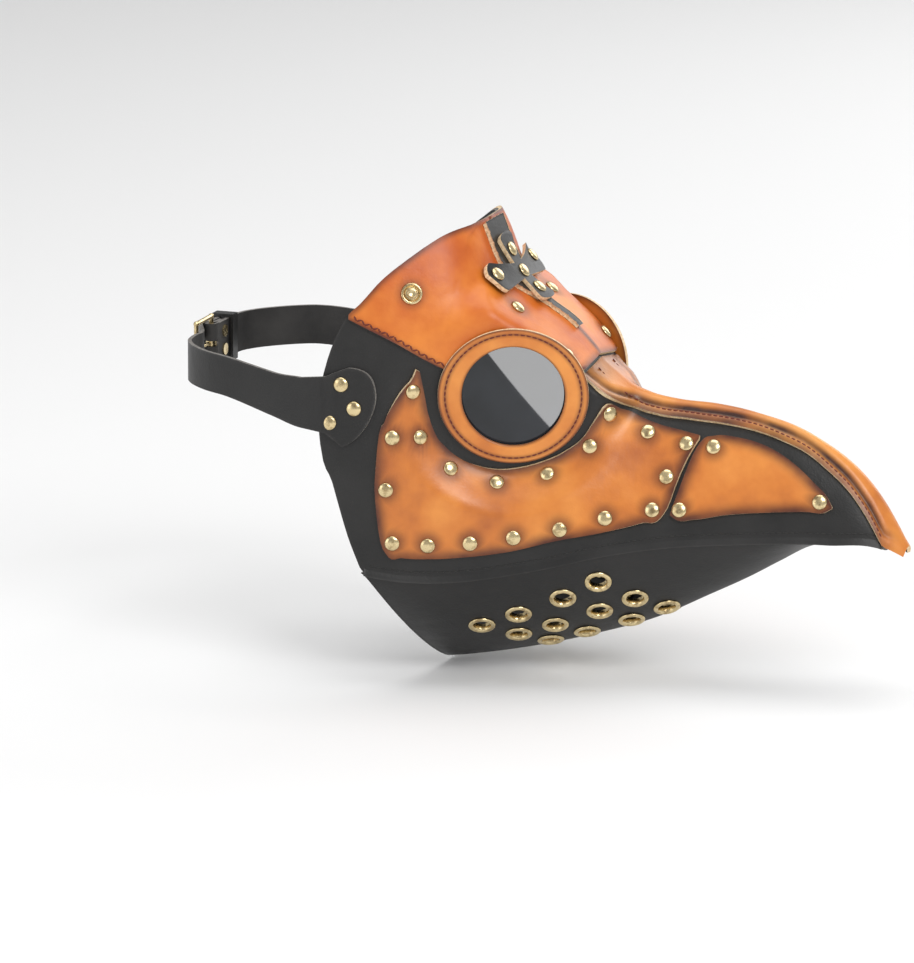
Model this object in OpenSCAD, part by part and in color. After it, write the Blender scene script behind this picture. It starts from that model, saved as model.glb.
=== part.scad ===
// Plague doctor mask: a leather bird-beak mask, worn over a hood and held by a buckled strap.
// Millimetres. +X points along the beak, +Y to the wearer's left, +Z up.
// The origin is on the plane of symmetry, level with the eyes, at the rear edge of the side panels.

/* [Leather] */
// Thickness of every leather sheet
leather = 1.8; // [1.4:0.1:2.0]
// Free space left between two stacked sheets
layer_gap = 0.5; // [0.4:0.1:0.6]

/* [Eyes] */
// Half height of the eye ring
ring_rz = 36.8; // [35:0.1:37]
// Half length of the eye ring
ring_rx = 39.5; // [38:0.1:40]
// Radius of the opening in the eye ring
sight_r = 27; // [24:0.5:28]
// Radius of the lens
lens_r = 28.5; // [28:0.25:29]
// Thickness of the lens
lens_t = 1.6; // [1.2:0.1:1.8]

/* [Fasteners] */
// Radius of a rivet's domed head
rivet_r = 4; // [3.5:0.1:4.2]
// Height of a rivet's domed head
rivet_h = 1.7; // [1.2:0.1:2]
// Radius of the hole through an eyelet
eyelet_hole_r = 4.5; // [4:0.1:4.6]
// Outer radius of an eyelet's flange
eyelet_r = 7.2; // [6.8:0.1:7.4]
// Radius of the snap stud's head
stud_r = 2.7; // [2.6:0.05:2.8]

/* [Strap] */
// Width of the strap where it passes the buckle
strap_w = 21; // [20:0.5:22]
// Width of the riveted tab
tab_w = 40; // [38:0.5:41]
// How far the strap reaches behind the mask's rear edge
strap_reach = 88; // [86:1:90]
// Thickness of the strap
strap_t = 2; // [1.8:0.1:2.2]

/* [Hidden] */

$fn = 48;
tan_leather = "#c97a3a";
black_leather = "#2a2826";
brass_metal = "#b8a060";
black_lens = "#101216";

// Offsets of the stacked layers from the skin: 0 is the inner face of the side panels
first_layer = 0;
second_layer = first_layer + leather + layer_gap;
third_layer = second_layer + leather + layer_gap;
fourth_layer = third_layer + leather + layer_gap;
burr_t = 0.8;
burr_r = 3.2;
shank_r = 1.2;

// ---- Curves: [position, value] control points of the mask's outline, joined smoothly ----

crest_line = [[-4, 130], [14, 125], [41, 105], [64, 83], [71, 66], [80, 51], [90, 42],
    [100, 35.5], [111, 28.5], [122, 18.2], [134, 4.5], [144, -3], [156, -7.8], [172, -10.5],
    [194, -11.5], [215, -14.5], [246, -24.3], [276, -46.5], [300, -82]];
seam_line = [[-4, -88], [23, -94.5], [48, -98], [68, -97.7], [87, -95.3], [106, -91.7],
    [150, -81.3], [179, -76.7], [208, -74.3], [260, -72.4], [287, -74], [300, -82]];
half_width_line = [[-4, 77.5], [0, 77], [30, 72], [60, 63], [97, 52], [130, 44], [150, 39],
    [200, 27], [250, 16.5], [287, 7.5], [300, 0.8]];
fullness_line = [[-4, 3], [0, 3], [60, 2.8], [97, 2.4], [130, 1.6], [160, 1.35], [200, 1.35],
    [260, 1.4], [300, 1.5]];
keel_line = [[20, -156], [45, -155], [74, -150], [131, -135], [160, -125], [192, -109],
    [213, -98], [230, -88], [246, -79], [262, -75.5], [290, -78]];
rear_upper_line = [[-0.4, -2], [4, 17], [13.4, 39.9], [20.3, 47.6], [29.3, 59], [38.7, 67.7],
    [47.4, 74.3], [56.9, 80.6], [64, 83]];
rear_lower_line = [[-0.4, -12], [0.8, -23.5], [7.7, -47], [15.7, -75], [23, -94.5]];
forehead_seam_line = [[13.4, 39.9], [38, 27.3], [62, 13.5], [84, 8], [106, 9], [122, 11.3], [130, 8]];
ridge_edge_line = [[120, 17], [126.6, 8.7], [134.7, -0.4], [143.3, -7.3], [153.2, -12.5],
    [163.6, -14.9], [182.8, -16.2], [201, -17.3], [219.5, -20.2], [232, -23.8], [244, -28.7],
    [256.6, -37.1], [269.4, -48.3], [278.6, -60.1], [287, -74]];
cheek_top_line = [[29.9, -46.3], [31.2, -25.9], [34.4, -13.6], [38.5, -2.6], [45, 7.4], [49.4, 10.5],
    [50.4, 2.7], [51.6, -6.8], [54.8, -19.8], [60.8, -29.4], [68.2, -35.9], [76.3, -39.2], [86, -41],
    [96.4, -40.1], [106.9, -37.3], [120.3, -30.8], [129.9, -22.4], [135.2, -12.8], [138.6, -6.5],
    [144.2, -10.1], [153, -15.3], [164.8, -19.2], [179.3, -21.7], [188.7, -23.2]];
cheek_bottom_line = [[29.9, -50], [30.8, -61.8], [32.5, -75.2], [36, -84.3], [43.5, -85.9],
    [58.1, -86.3], [77.2, -84.9], [96.6, -82], [121.1, -75.8], [143.9, -71.6], [164.2, -66.3],
    [174, -63], [177.4, -56.5], [179.9, -46.6], [184, -34.4], [188.7, -24.6]];
beak_top_line = [[178.5, -61.3], [183.3, -44], [186.5, -33.3], [190.5, -25.5], [196.4, -23.1],
    [208.6, -23.2], [220.7, -25.5], [233.4, -30.6], [243.3, -37], [251.3, -43.7], [258.2, -49.9],
    [261.4, -54.8]];
beak_bottom_line = [[178.5, -62], [181.9, -64.1], [190.2, -63.7], [207.2, -60.6], [225, -58.8],
    [248.2, -57.5], [258.6, -57.3], [261.4, -55.6]];

function slope(points, i) = (points[i + 1][1] - points[i][1]) / (points[i + 1][0] - points[i][0]);

// Slope of the smooth curve at control point i
function knot_slope(points, i) =
    i == 0 ? slope(points, 0) :
    i == len(points) - 1 ? slope(points, i - 1) :
    let (before = points[i][0] - points[i - 1][0])
    let (after = points[i + 1][0] - points[i][0])
    (slope(points, i - 1) * after + slope(points, i) * before) / (before + after);

// Index of the stretch between two control points that holds x
function stretch_at(points, x, i = 0) =
    i >= len(points) - 2 || x <= points[i + 1][0] ? i : stretch_at(points, x, i + 1);

// Value of the smooth curve through the control points at x
function curve(points, x) =
    let (i = stretch_at(points, x))
    let (h = points[i + 1][0] - points[i][0])
    let (t = (x - points[i][0]) / h)
    (2 * t ^ 3 - 3 * t ^ 2 + 1) * points[i][1]
        + (t ^ 3 - 2 * t ^ 2 + t) * h * knot_slope(points, i)
        + (3 * t ^ 2 - 2 * t ^ 3) * points[i + 1][1]
        + (t ^ 3 - t ^ 2) * h * knot_slope(points, i + 1);

function clamp(v, low, high) = max(low, min(high, v));
function smooth(v) = let (t = clamp(v, 0, 1)) t * t * (3 - 2 * t);

// ---- The skin: the inner face of the side panels, as a half width at each (x, z) ----

eye_centre = [95, -40, -0.5];
eye_turn = 20;
eye_tip = -3;
eye_normal = [cos(eye_tip) * sin(eye_turn), -cos(eye_tip) * cos(eye_turn), sin(eye_tip)];
flat_r = 42;
blend_r = 64;
crest_guard = 5;
tip_x = 296.5;

// Half width of the flat stretch around the eye
function eye_plane(x, z) =
    -eye_centre[1] + (eye_normal[0] * (x - eye_centre[0]) + eye_normal[2] * (z - eye_centre[2]))
    / eye_normal[1];

// Half width of the skin, flattened around the eye
function half_width(x, z) =
    let (crest = curve(crest_line, x))
    let (seam = curve(seam_line, x))
    let (down = clamp((crest - z) / (crest - seam), 0, 1))
    let (n = curve(fullness_line, x))
    let (full = curve(half_width_line, x) * (1 - (1 - down) ^ n) ^ (1 / n))
    let (r = norm([(x - eye_centre[0]) / cos(eye_turn), z - eye_centre[2]]))
    let (flat = smooth((blend_r - r) / (blend_r - flat_r)) * smooth((crest - z) / crest_guard))
    full * (1 - flat) + eye_plane(x, z) * flat;

// How far round the skin a height lies: 0 at the crest, 1 at the seam
function around(x, z) =
    let (crest = curve(crest_line, x))
    sqrt(clamp((crest - z) / (crest - curve(seam_line, x)), 0, 1));

function bare_point(x, s) =
    let (crest = curve(crest_line, x))
    let (z = crest - (crest - curve(seam_line, x)) * s * s)
    [x, -sign(s) * half_width(x, z), z];

function unit(v) = v / norm(v);

function skin_normal(x, s) =
    let (dx = 0.6)
    let (ds = 0.015)
    let (along = bare_point(min(x + dx, tip_x), s) - bare_point(x - dx, s))
    let (round = bare_point(x, min(s + ds, 1)) - bare_point(x, s - ds))
    unit(cross(round, along));

// Point at offset out from the skin
function skin(x, s, out) = bare_point(x, s) + out * skin_normal(x, s);

// ---- The underside: a V-shaped keel hung between the two seams ----

keel_fullness = 1.3;
seam_gap = 1.5;
underside_out = leather;

function bare_under(x, a) =
    let (seam = curve(seam_line, x) - seam_gap)
    let (depth = max(seam - curve(keel_line, x), 0.5))
    let (w = curve(half_width_line, x) + underside_out)
    [x, -sign(a) * w * abs(sin(a)) ^ (2 / keel_fullness),
        seam - depth * abs(cos(a)) ^ (2 / keel_fullness)];

function under_normal(x, a) =
    let (along = bare_under(x + 0.6, a) - bare_under(x - 0.6, a))
    let (round = bare_under(x, min(a + 2, 90)) - bare_under(x, max(a - 2, -90)))
    unit(cross(along, round));

// Point at depth in from the underside's outer face
function under(x, a, in) = bare_under(x, a) - in * under_normal(x, a);

// Angle round the keel at which the underside has this half width
function under_angle(x, y) =
    sign(-y) * asin((abs(y) / (curve(half_width_line, x) + underside_out)) ^ (keel_fullness / 2));

// ---- Building blocks ----

// Closed sheet between two equal grids of points, the inner face first
module sheet(face, back) {
    rows = len(face);
    cols = len(face[0]);
    count = rows * cols;
    points = [for (row = face) each row, for (row = back) each row];
    rim = [
        for (j = [0 : cols - 2]) j,
        for (i = [0 : rows - 2]) i * cols + cols - 1,
        for (j = [cols - 1 : -1 : 1]) (rows - 1) * cols + j,
        for (i = [rows - 1 : -1 : 1]) i * cols];
    faces = [
        for (i = [0 : rows - 2], j = [0 : cols - 2])
            let (a = i * cols + j)
            each [[a, a + 1, a + cols + 1], [a, a + cols + 1, a + cols]],
        for (i = [0 : rows - 2], j = [0 : cols - 2])
            let (a = count + i * cols + j)
            each [[a, a + cols + 1, a + 1], [a, a + cols, a + cols + 1]],
        for (k = [0 : len(rim) - 1])
            let (p = rim[k])
            let (q = rim[(k + 1) % len(rim)])
            each [[q, p, p + count], [q, p + count, q + count]]];
    polyhedron(points, faces);
}

// Leather that lies on the skin, sampled at the side panel's own lattice so that stacked layers
// stay parallel. It covers the lattice's stations from one index to another.
module skin_layer(out, from = 0, to = len(lattice_x) - 1, t = leather) {
    grid = function (offset) [for (i = [from : to])
        let (x = lattice_x[i])
        let (s0 = around(x, panel_top(x)))
        let (s1 = around(x, panel_bottom(x)))
        [for (j = [0 : lattice_rows]) skin(x, s0 + (s1 - s0) * j / lattice_rows, offset)]];
    sheet(grid(out), grid(out + t));
}

// Index of the last lattice station before x, or of the first one after it
function station_before(x) = max([for (i = [0 : len(lattice_x) - 1]) if (lattice_x[i] < x) i]);
function station_after(x) = min([for (i = [0 : len(lattice_x) - 1]) if (lattice_x[i] > x) i]);

// Second leather layer cut to the outline between two lines
module patch(places, upper, lower) {
    outline = [for (x = places) [x, curve(upper, x)],
        for (i = [len(places) - 1 : -1 : 0]) [places[i], curve(lower, places[i])]];
    intersection() {
        skin_layer(second_layer, station_before(places[0]), station_after(places[len(places) - 1]));
        rotate([90, 0, 0]) linear_extrude(100) polygon(outline);
    }
}

// Places from a to b in n equal steps
function even(a, b, n) = [for (i = [0 : n]) a + (b - a) * i / n];

// Turns a child's +Z to the direction given
module facing(direction) {
    rotate([0, acos(direction[2]), atan2(direction[1], direction[0])]) children();
}

// Puts a child on the skin at [x, z], standing out of it
module on_skin(place, out = 0) {
    s = around(place[0], place[1]);
    translate(skin(place[0], s, out)) facing(skin_normal(place[0], s)) children();
}

module left_of_right() {
    mirror([0, 1, 0]) children();
}

// Domed rivet whose head sits at height 0 and whose burr closes on the inside, depth below
module rivet(depth) {
    dome = [for (a = [0 : 15 : 90]) [rivet_r * cos(a), 0.4 + (rivet_h - 0.4) * sin(a)]];
    rotate_extrude($fn = 24)
        polygon(concat([[0, -depth - burr_t], [burr_r, -depth - burr_t], [burr_r, -depth],
            [shank_r, -depth], [shank_r, 0], [rivet_r, 0]], dome));
}

// ---- Leather panels ----

panel_rear = -0.4;
panel_front = 291;
lattice_x = [each even(panel_rear, 64, 11), each even(70, 142, 12), each even(149, panel_front, 15)];
lattice_rows = 16;

function panel_top(x) = x < 64 ? curve(rear_upper_line, x) : curve(crest_line, x);
function panel_bottom(x) = x < 23 ? curve(rear_lower_line, x) : curve(seam_line, x);

module right_side_panel() {
    color(black_leather)
        difference() {
            skin_layer(first_layer);
            eye_hole(lens_r + 0.7);
        }
}

module left_side_panel() {
    left_of_right() right_side_panel();
}

// The prism that cuts it reaches above the crest, so only its lower edge is trimmed
module right_forehead_panel() {
    rear = 14.6;
    front = 126.5;
    above = 140;
    places = [each even(rear, 64, 12), each even(70, front, 8)];
    color(tan_leather)
        difference() {
            intersection() {
                skin_layer(second_layer, station_before(rear), station_after(front));
                rotate([90, 0, 0])
                    linear_extrude(100)
                        polygon([[rear, above], for (x = places) [x, curve(forehead_seam_line, x)],
                            [front, above]]);
            }
            eye_hole(lens_r + 0.7);
        }
}

module left_forehead_panel() {
    left_of_right() right_forehead_panel();
}

// Circular hole through every layer at the eye
module eye_hole(r) {
    translate(eye_centre) facing(eye_normal) cylinder(h = 30, r = r, center = true);
}

module underside_panel() {
    rear = 23;
    rear_sweep = 22;
    front = 288;
    steps = 28;
    angles = even(-90, 90, 20);
    grid = function (in) [for (k = [0 : steps]) [for (a = angles)
        let (start = rear + rear_sweep * cos(a))
        under(start + (front - start) * k / steps, a, in)]];
    color(black_leather)
        difference() {
            sheet(grid(0), grid(leather));
            for (place = eyelet_places)
                at_eyelet(place) cylinder(h = 12, r = eyelet_hole_r + 0.7, center = true);
        }
}

// Folded over the beak's ridge, and closed at the tip
module ridge_strip() {
    stations = [each even(127.6, 160, 7), each even(167, 250, 11), each even(256, tip_x, 9)];
    edge = function (x) x < 287 ? around(x, curve(ridge_edge_line, x)) : 1;
    rows = 10;
    grid = function (offset) [for (x = stations)
        [for (j = [0 : rows]) skin(x, edge(x) * (2 * j / rows - 1), offset)]];
    color(tan_leather) sheet(grid(second_layer), grid(second_layer + leather));
}

// ---- Patches ----

module right_cheek_patch() {
    places = [29.9, 31.2, 32.5, 34.4, 38.5, 43.5, 47, 49.4, 50.4, 51.6, 54.8, each even(60.8, 129.9, 9),
        135.2, 138.6, 144.2, 153, 164.2, 174, 177.4, 179.9, 184, 188.7];
    color(tan_leather) patch(places, cheek_top_line, cheek_bottom_line);
}

module left_cheek_patch() {
    left_of_right() right_cheek_patch();
}

module right_beak_patch() {
    places = [178.5, 180, 183.3, 186.5, 190.5, 196.4, each even(208.6, 251.3, 5), 258.2, 261.4];
    color(tan_leather) patch(places, beak_top_line, beak_bottom_line);
}

module left_beak_patch() {
    left_of_right() right_beak_patch();
}

// ---- Eyes ----

ring_t = 2;
ring_lean = atan((third_layer - second_layer) / (ring_rz + 14));

// The ring's own plane: it rests on the forehead panel above and on the side panel below
module at_eye(out) {
    translate(eye_centre)
        rotate([0, 0, eye_turn])
            rotate([90 - eye_tip, 0, 0])
                translate([0, -ring_rz, out])
                    rotate([ring_lean, 0, 0])
                        translate([0, ring_rz, 0])
                            children();
}

module oval(rx, ry) {
    polygon([for (a = [0 : 6 : 354]) [rx * cos(a), ry * sin(a)]]);
}

module right_eye_ring() {
    color(tan_leather)
        at_eye(second_layer)
            linear_extrude(ring_t)
                difference() {
                    oval(ring_rx, ring_rz);
                    circle(sight_r, $fn = 64);
                }
}

module left_eye_ring() {
    left_of_right() right_eye_ring();
}

module right_lens() {
    color(black_lens)
        at_eye(second_layer - lens_t - 0.3)
            cylinder(h = lens_t, r = lens_r, $fn = 64);
}

module left_lens() {
    left_of_right() right_lens();
}

// Trimmed on its upper front, where the brow turns over
module right_lens_backing_ring() {
    brow_side = 135;
    color(black_leather)
        translate(eye_centre)
            facing(eye_normal)
                translate([0, 0, -ring_t - 0.9])
                    linear_extrude(ring_t)
                        difference() {
                            intersection() {
                                circle(lens_r + 2, $fn = 64);
                                rotate(brow_side) translate([-50, -50]) square([50 + sight_r + 1, 100]);
                            }
                            circle(sight_r, $fn = 64);
                        }
}

module left_lens_backing_ring() {
    left_of_right() right_lens_backing_ring();
}

// ---- Forehead ornament ----

cross_x = 79.5;
side_arm = 33;
long_arm = 21;
ornament_lean = 48;

// Sheet across the mid-plane, wide enough for the ornament
module crest_layer(out) {
    reach = 38;
    rows = 16;
    grid = function (offset) [for (x = even(56, 118, 14)) [for (j = [0 : rows])
        crest_point(x, reach * (2 * j / rows - 1), offset)]];
    sheet(grid(out), grid(out + leather));
}

// Point at offset out from the skin near the crest, at lateral place y
function crest_point(x, y, out) = skin(x, sign(y) * around_at(x, abs(y)), out);

// Inverse of the half width near the crest, by bisection
function around_at(x, y, low = 0, high = 0.8, steps = 14) =
    y == 0 ? 0 :
    steps == 0 ? (low + high) / 2 :
    let (middle = (low + high) / 2)
    -bare_point(x, middle)[1] < y ?
        around_at(x, y, middle, high, steps - 1) : around_at(x, y, low, middle, steps - 1);

// Cuts a crest layer to an outline drawn on the forehead's slope: +X to the wearer's left, +Y up it
module ornament(out) {
    intersection() {
        crest_layer(out);
        translate([cross_x, 0, curve(crest_line, cross_x)])
            rotate([0, ornament_lean, 0])
                rotate([0, 0, 90])
                    translate([0, 0, -40])
                        linear_extrude(80) children();
    }
}

module forehead_center_strip() {
    right = [for (up = [30 : -6 : -42]) [13 - 10 * smooth((2 - up) / 26), up]];
    left = [for (i = [len(right) - 1 : -1 : 0]) [-right[i][0], right[i][1]]];
    color(black_leather) ornament(third_layer) polygon(concat(right, left));
}

// Half of an arm that flares towards a rounded end, as points from its root to the middle of its end
function arm_side(arm, waist, flare) =
    [for (v = [0.25 : 0.15 : 1]) [arm * v * 0.86, waist + (flare - waist) * v ^ 1.6],
        [arm * 0.96, flare * 0.72], [arm, flare * 0.3]];

// The arm bends towards +Y by sweep at its end
module arm(length, waist, flare, sweep = 0) {
    half = arm_side(length, waist, flare);
    points = [[0, waist], each half, for (i = [len(half) - 1 : -1 : 0]) [half[i][0], -half[i][1]],
        [0, -waist]];
    polygon([for (p = points) [p[0], p[1] + sweep * (p[0] / length) ^ 2]]);
}

module forehead_cross() {
    waist = 4.6;
    flare = 10;
    color(black_leather)
        ornament(fourth_layer) {
            for (side = [0, 1]) mirror([side, 0]) arm(side_arm, waist, flare, 4);
            for (turn = [90, 270]) rotate(turn) arm(long_arm, waist, flare);
        }
}

cross_rivet_places = [[cross_x, 0], [cross_x - 4, -25.5], [cross_x - 4, 25.5], [cross_x - 7.5, 0],
    [cross_x + 10.5, 0]];

module cross_rivets() {
    color(brass_metal)
        for (place = cross_rivet_places)
            at_crest(place, fourth_layer + leather) rivet(fourth_layer + leather);
}

module at_crest(place, out) {
    x = place[0];
    s = -sign(place[1]) * around_at(x, abs(place[1]));
    translate(skin(x, s, out)) facing(skin_normal(x, s)) children();
}

// ---- Fasteners on the skin ----

forehead_rivet_places = [[90.3, 39.6], [118.8, 17.5]];
cheek_rivet_places = [[45.6, 1.8], [38.3, -21.9], [49.2, -23.1], [64, -40.9], [87, -49.4],
    [112.7, -44.9], [133, -28.9], [140, -11.6], [160.7, -23.1], [182.5, -27.5], [174.4, -43.6],
    [169, -59.8], [145.1, -64.3], [122.7, -69.9], [99.5, -74.4], [77.6, -77.7], [56.4, -79.1],
    [38.7, -78], [35.5, -49.6]];
beak_rivet_places = [[197, -28.2], [183.1, -59.2], [254.8, -52.6]];
stud_place = [44.2, 52.1];
tab_rivet_places = [[12.1, 5.4], [19, -7], [6.3, -14.8]];

module rivets_on_skin(places, out) {
    color(brass_metal)
        for (place = places)
            on_skin(place, out) rivet(out);
}

module right_forehead_rivets() {
    rivets_on_skin(forehead_rivet_places, second_layer + leather);
}

module left_forehead_rivets() {
    left_of_right() right_forehead_rivets();
}

module right_cheek_rivets() {
    rivets_on_skin(cheek_rivet_places, second_layer + leather);
}

module left_cheek_rivets() {
    left_of_right() right_cheek_rivets();
}

module right_beak_rivets() {
    rivets_on_skin(beak_rivet_places, second_layer + leather);
}

module left_beak_rivets() {
    left_of_right() right_beak_rivets();
}

module right_strap_rivets() {
    rivets_on_skin(tab_rivet_places, second_layer + strap_t);
}

module left_strap_rivets() {
    left_of_right() right_strap_rivets();
}

// Snap stud: a base ring, a neck and a straight-sided head
module right_snap_stud() {
    base_r = 5.8;
    neck_r = 2.2;
    color(brass_metal)
        on_skin(stud_place, second_layer + leather + 0.15)
            rotate_extrude()
                polygon([[0, 0], [base_r, 0], [base_r, 0.6], [base_r - 0.6, 1], [3.4, 0.7],
                    [neck_r, 0.7], [neck_r, 1.8], [stud_r, 2.2], [stud_r, 3.8], [stud_r - 0.6, 4.4],
                    [0, 4.4]]);
}

module left_snap_stud() {
    left_of_right() right_snap_stud();
}

// Back plate of the snap stud, with the post that passes through the leather
module right_snap_back() {
    color(brass_metal)
        on_skin(stud_place)
            union() {
                translate([0, 0, -1]) cylinder(h = 0.95, r = 5);
                translate([0, 0, -0.5]) cylinder(h = second_layer + leather + 0.45, r = 1.5);
            }
}

module left_snap_back() {
    left_of_right() right_snap_back();
}

// ---- Eyelets ----

eyelet_row_x = [169.3, 149.7, 125, 104.6];
eyelet_columns = [[7.3, 0], [21, 13], [35.5, 28.5]];
eyelet_places = [for (x = eyelet_row_x, column = eyelet_columns, side = [-1, 1])
    [x - column[1], side * column[0]]];

module at_eyelet(place) {
    a = under_angle(place[0], place[1]);
    translate(under(place[0], a, 0)) facing(under_normal(place[0], a)) children();
}

module vent_eyelets() {
    color(brass_metal)
        for (place = eyelet_places)
            at_eyelet(place)
                rotate_extrude($fn = 32)
                    polygon([[eyelet_hole_r, -leather - 2], [eyelet_hole_r + 0.4, -leather - 2],
                        [eyelet_hole_r + 0.4, 0.25], [eyelet_r, 0.25], [eyelet_r - 0.6, 0.9],
                        [eyelet_hole_r + 0.9, 1.4], [eyelet_hole_r, 0.9]]);
}

module vent_washers() {
    color(brass_metal)
        for (place = eyelet_places)
            at_eyelet(place)
                translate([0, 0, -leather - 1.8])
                    linear_extrude(0.6)
                        difference() {
                            circle(eyelet_r - 0.6, $fn = 32);
                            circle(eyelet_hole_r + 0.5, $fn = 32);
                        }
}

// ---- Strap ----

// The tab and the band meet on an arc round the tab's centre
tab_centre = [13, -5];
split_r = 17;
split_gap = 0.35;
split_y = -79.6;
tab_half_angle = 62;
band_half_angle = 46;
rear_z = 4;
tab_nose = [[-88, tab_w / 2 + 2.5], [-59, 18.5], [-20, 16.5], [20, 18.5], [50, 21], [81, tab_w / 2 - 0.3]];

// The rear of the strap, measured outwards (-X) from its inner face
heel_y = 4;
nose_y = -18;
wire_r = 1.3;
fold_r = 1.7;
buckle_half_h = strap_w / 2 + 4;
heel_x = -strap_reach - strap_t - fold_r;
prong_r = 1.1;
slot_w = 4.4;

// Inner face of the strap at the tab: it follows the skin, and is flat behind the rear edge
function tab_y(x, z) =
    let (on = smooth((x - 3) / 7))
    split_y * (1 - on) + skin(max(x, 3), around(max(x, 3), z), second_layer)[1] * on;

module right_strap_tab() {
    rows = 8;
    cols = 6;
    grid = function (out) [for (j = [0 : rows])
        let (t = 2 * j / rows - 1)
        let (rear = tab_centre + split_r * [-cos(tab_half_angle * t), sin(tab_half_angle * t)])
        let (a = -88 + 169 * j / rows)
        let (front = tab_centre + curve(tab_nose, a) * [cos(a), sin(a)])
        [for (k = [0 : cols])
            let (p = rear + (front - rear) * k / cols)
            [p[0], tab_y(p[0], p[1]) - out, p[1]]]];
    color(black_leather) sheet(grid(0), grid(strap_t));
}

module left_strap_tab() {
    left_of_right() right_strap_tab();
}

// Plan of the strap's inner face from the split to the straight rear stretch, on the right
strap_plan = [[-8, split_y], [-22, -77.8], [-44, -72.5], [-64, -63], [-78, -51], [-85.5, -40],
    [-strap_reach + 0.3, -31], [-strap_reach, -24]];
// The right band's end runs on over the heel bar and the left band
right_end = [[-strap_reach, -15.5], [-strap_reach - 7.8, 2], [-strap_reach - 7.8, 6],
    [-strap_reach - 5.6, 11], [-strap_reach - 5.6, 28], [-strap_reach - 5.6, 36]];

function plan_normal(plan, i) =
    let (a = plan[max(i - 1, 0)])
    let (b = plan[min(i + 1, len(plan) - 1)])
    unit([b[1] - a[1], a[0] - b[0]]);

// Band that starts on the arc at the tab and follows a plan; its height narrows to the rear
module band(plan) {
    rows = 4;
    grid = function (out) [
        [for (j = [-rows / 2 : rows / 2])
            let (a = band_half_angle * 2 * j / rows)
            let (r = split_r + split_gap)
            [tab_centre[0] - r * cos(a), split_y - out, tab_centre[1] + r * sin(a)]],
        for (i = [0 : len(plan) - 1])
            let (p = plan[i] - out * plan_normal(plan, i))
            let (back = smooth(-plan[i][0] / 60))
            let (half = 12.3 + (strap_w / 2 - 12.3) * back)
            [for (j = [-rows / 2 : rows / 2])
                [p[0], p[1], tab_centre[1] + (rear_z - tab_centre[1]) * back + half * 2 * j / rows]]];
    sheet(grid(0), grid(strap_t));
}

module right_strap_band() {
    color(black_leather)
        difference() {
            band(concat(strap_plan, right_end));
            translate([-strap_reach - 15, -12, rear_z - slot_w / 2]) cube([16, 19, slot_w]);
            for (y = [-20, 14, 22])
                translate([-strap_reach + 1, y, rear_z]) rotate([0, -90, 0]) cylinder(h = 12, r = 2);
        }
}

// The left band folds round the heel bar and back on itself
module left_strap_band() {
    turn = fold_r + strap_t;
    plan = concat(strap_plan, [[-strap_reach, -15], [-strap_reach, -heel_y - 4], [-strap_reach, -heel_y]]);
    color(black_leather)
        difference() {
            union() {
                left_of_right() band(plan);
                translate([0, 0, rear_z - strap_w / 2])
                    linear_extrude(strap_w)
                        difference() {
                            union() {
                                translate([heel_x, heel_y]) circle(turn);
                                polygon([[heel_x - turn, heel_y], [heel_x, heel_y], [heel_x, heel_y + 1],
                                    [-strap_reach - 1, heel_y + 7], [-strap_reach - 1, heel_y + 13],
                                    [-strap_reach - 2 * strap_t - 0.4, heel_y + 13],
                                    [-strap_reach - 2 * strap_t - 0.4, heel_y + 7]]);
                            }
                            translate([heel_x, heel_y]) circle(fold_r);
                            polygon([[heel_x - fold_r, heel_y], [-strap_reach - strap_t, heel_y],
                                [-strap_reach - strap_t, heel_y + 6]]);
                        }
            }
            translate([heel_x - 6, heel_y - 6, rear_z - slot_w / 2]) cube([12, 10, slot_w]);
        }
}

module fold_rivets() {
    head_h = 0.9;
    depth = 2 * strap_t + 0.4;
    color(brass_metal)
        for (dz = [-5, 5])
            translate([-strap_reach - depth, heel_y + 10, rear_z + dz])
                rotate([0, -90, 0])
                    rotate_extrude($fn = 24)
                        polygon([[0, -depth - burr_t], [burr_r, -depth - burr_t], [burr_r, -depth],
                            [shank_r, -depth], [shank_r, 0], [3, 0], [2.4, head_h * 0.8], [0, head_h]]);
}

module buckle_frame() {
    nose_x = -strap_reach - strap_t - wire_r - 0.2;
    corners = [[heel_x, heel_y], [nose_x, nose_y]];
    color(brass_metal) {
        for (c = corners)
            translate([c[0], c[1], rear_z]) cylinder(h = 2 * buckle_half_h, r = wire_r, center = true);
        for (side = [-1, 1], c = corners)
            translate([c[0], c[1], rear_z + side * buckle_half_h]) sphere(wire_r + 0.25);
        for (side = [-1, 1])
            translate([heel_x, heel_y, rear_z + side * buckle_half_h])
                facing(unit([nose_x - heel_x, nose_y - heel_y, 0]))
                    cylinder(h = norm([nose_x - heel_x, nose_y - heel_y]), r = wire_r);
    }
}

module buckle_prong() {
    eye_bore = wire_r + 0.35;
    eye_r = 2.9;
    eye_h = 3;
    tip = [-strap_reach - strap_t - 2 * wire_r - prong_r - 0.8, nose_y - 2];
    way = [tip[0] - heel_x, tip[1] - heel_y, 0];
    color(brass_metal)
        translate([heel_x, heel_y, rear_z])
            difference() {
                union() {
                    cylinder(h = eye_h, r = eye_r, center = true);
                    facing(unit(way))
                        rotate_extrude($fn = 24)
                            polygon([[0, 1], [prong_r, 1], [prong_r, norm(way) - 1.5], [0.6, norm(way)],
                                [0, norm(way)]]);
                }
                cylinder(h = 2 * eye_h, r = eye_bore, center = true);
            }
}

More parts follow.
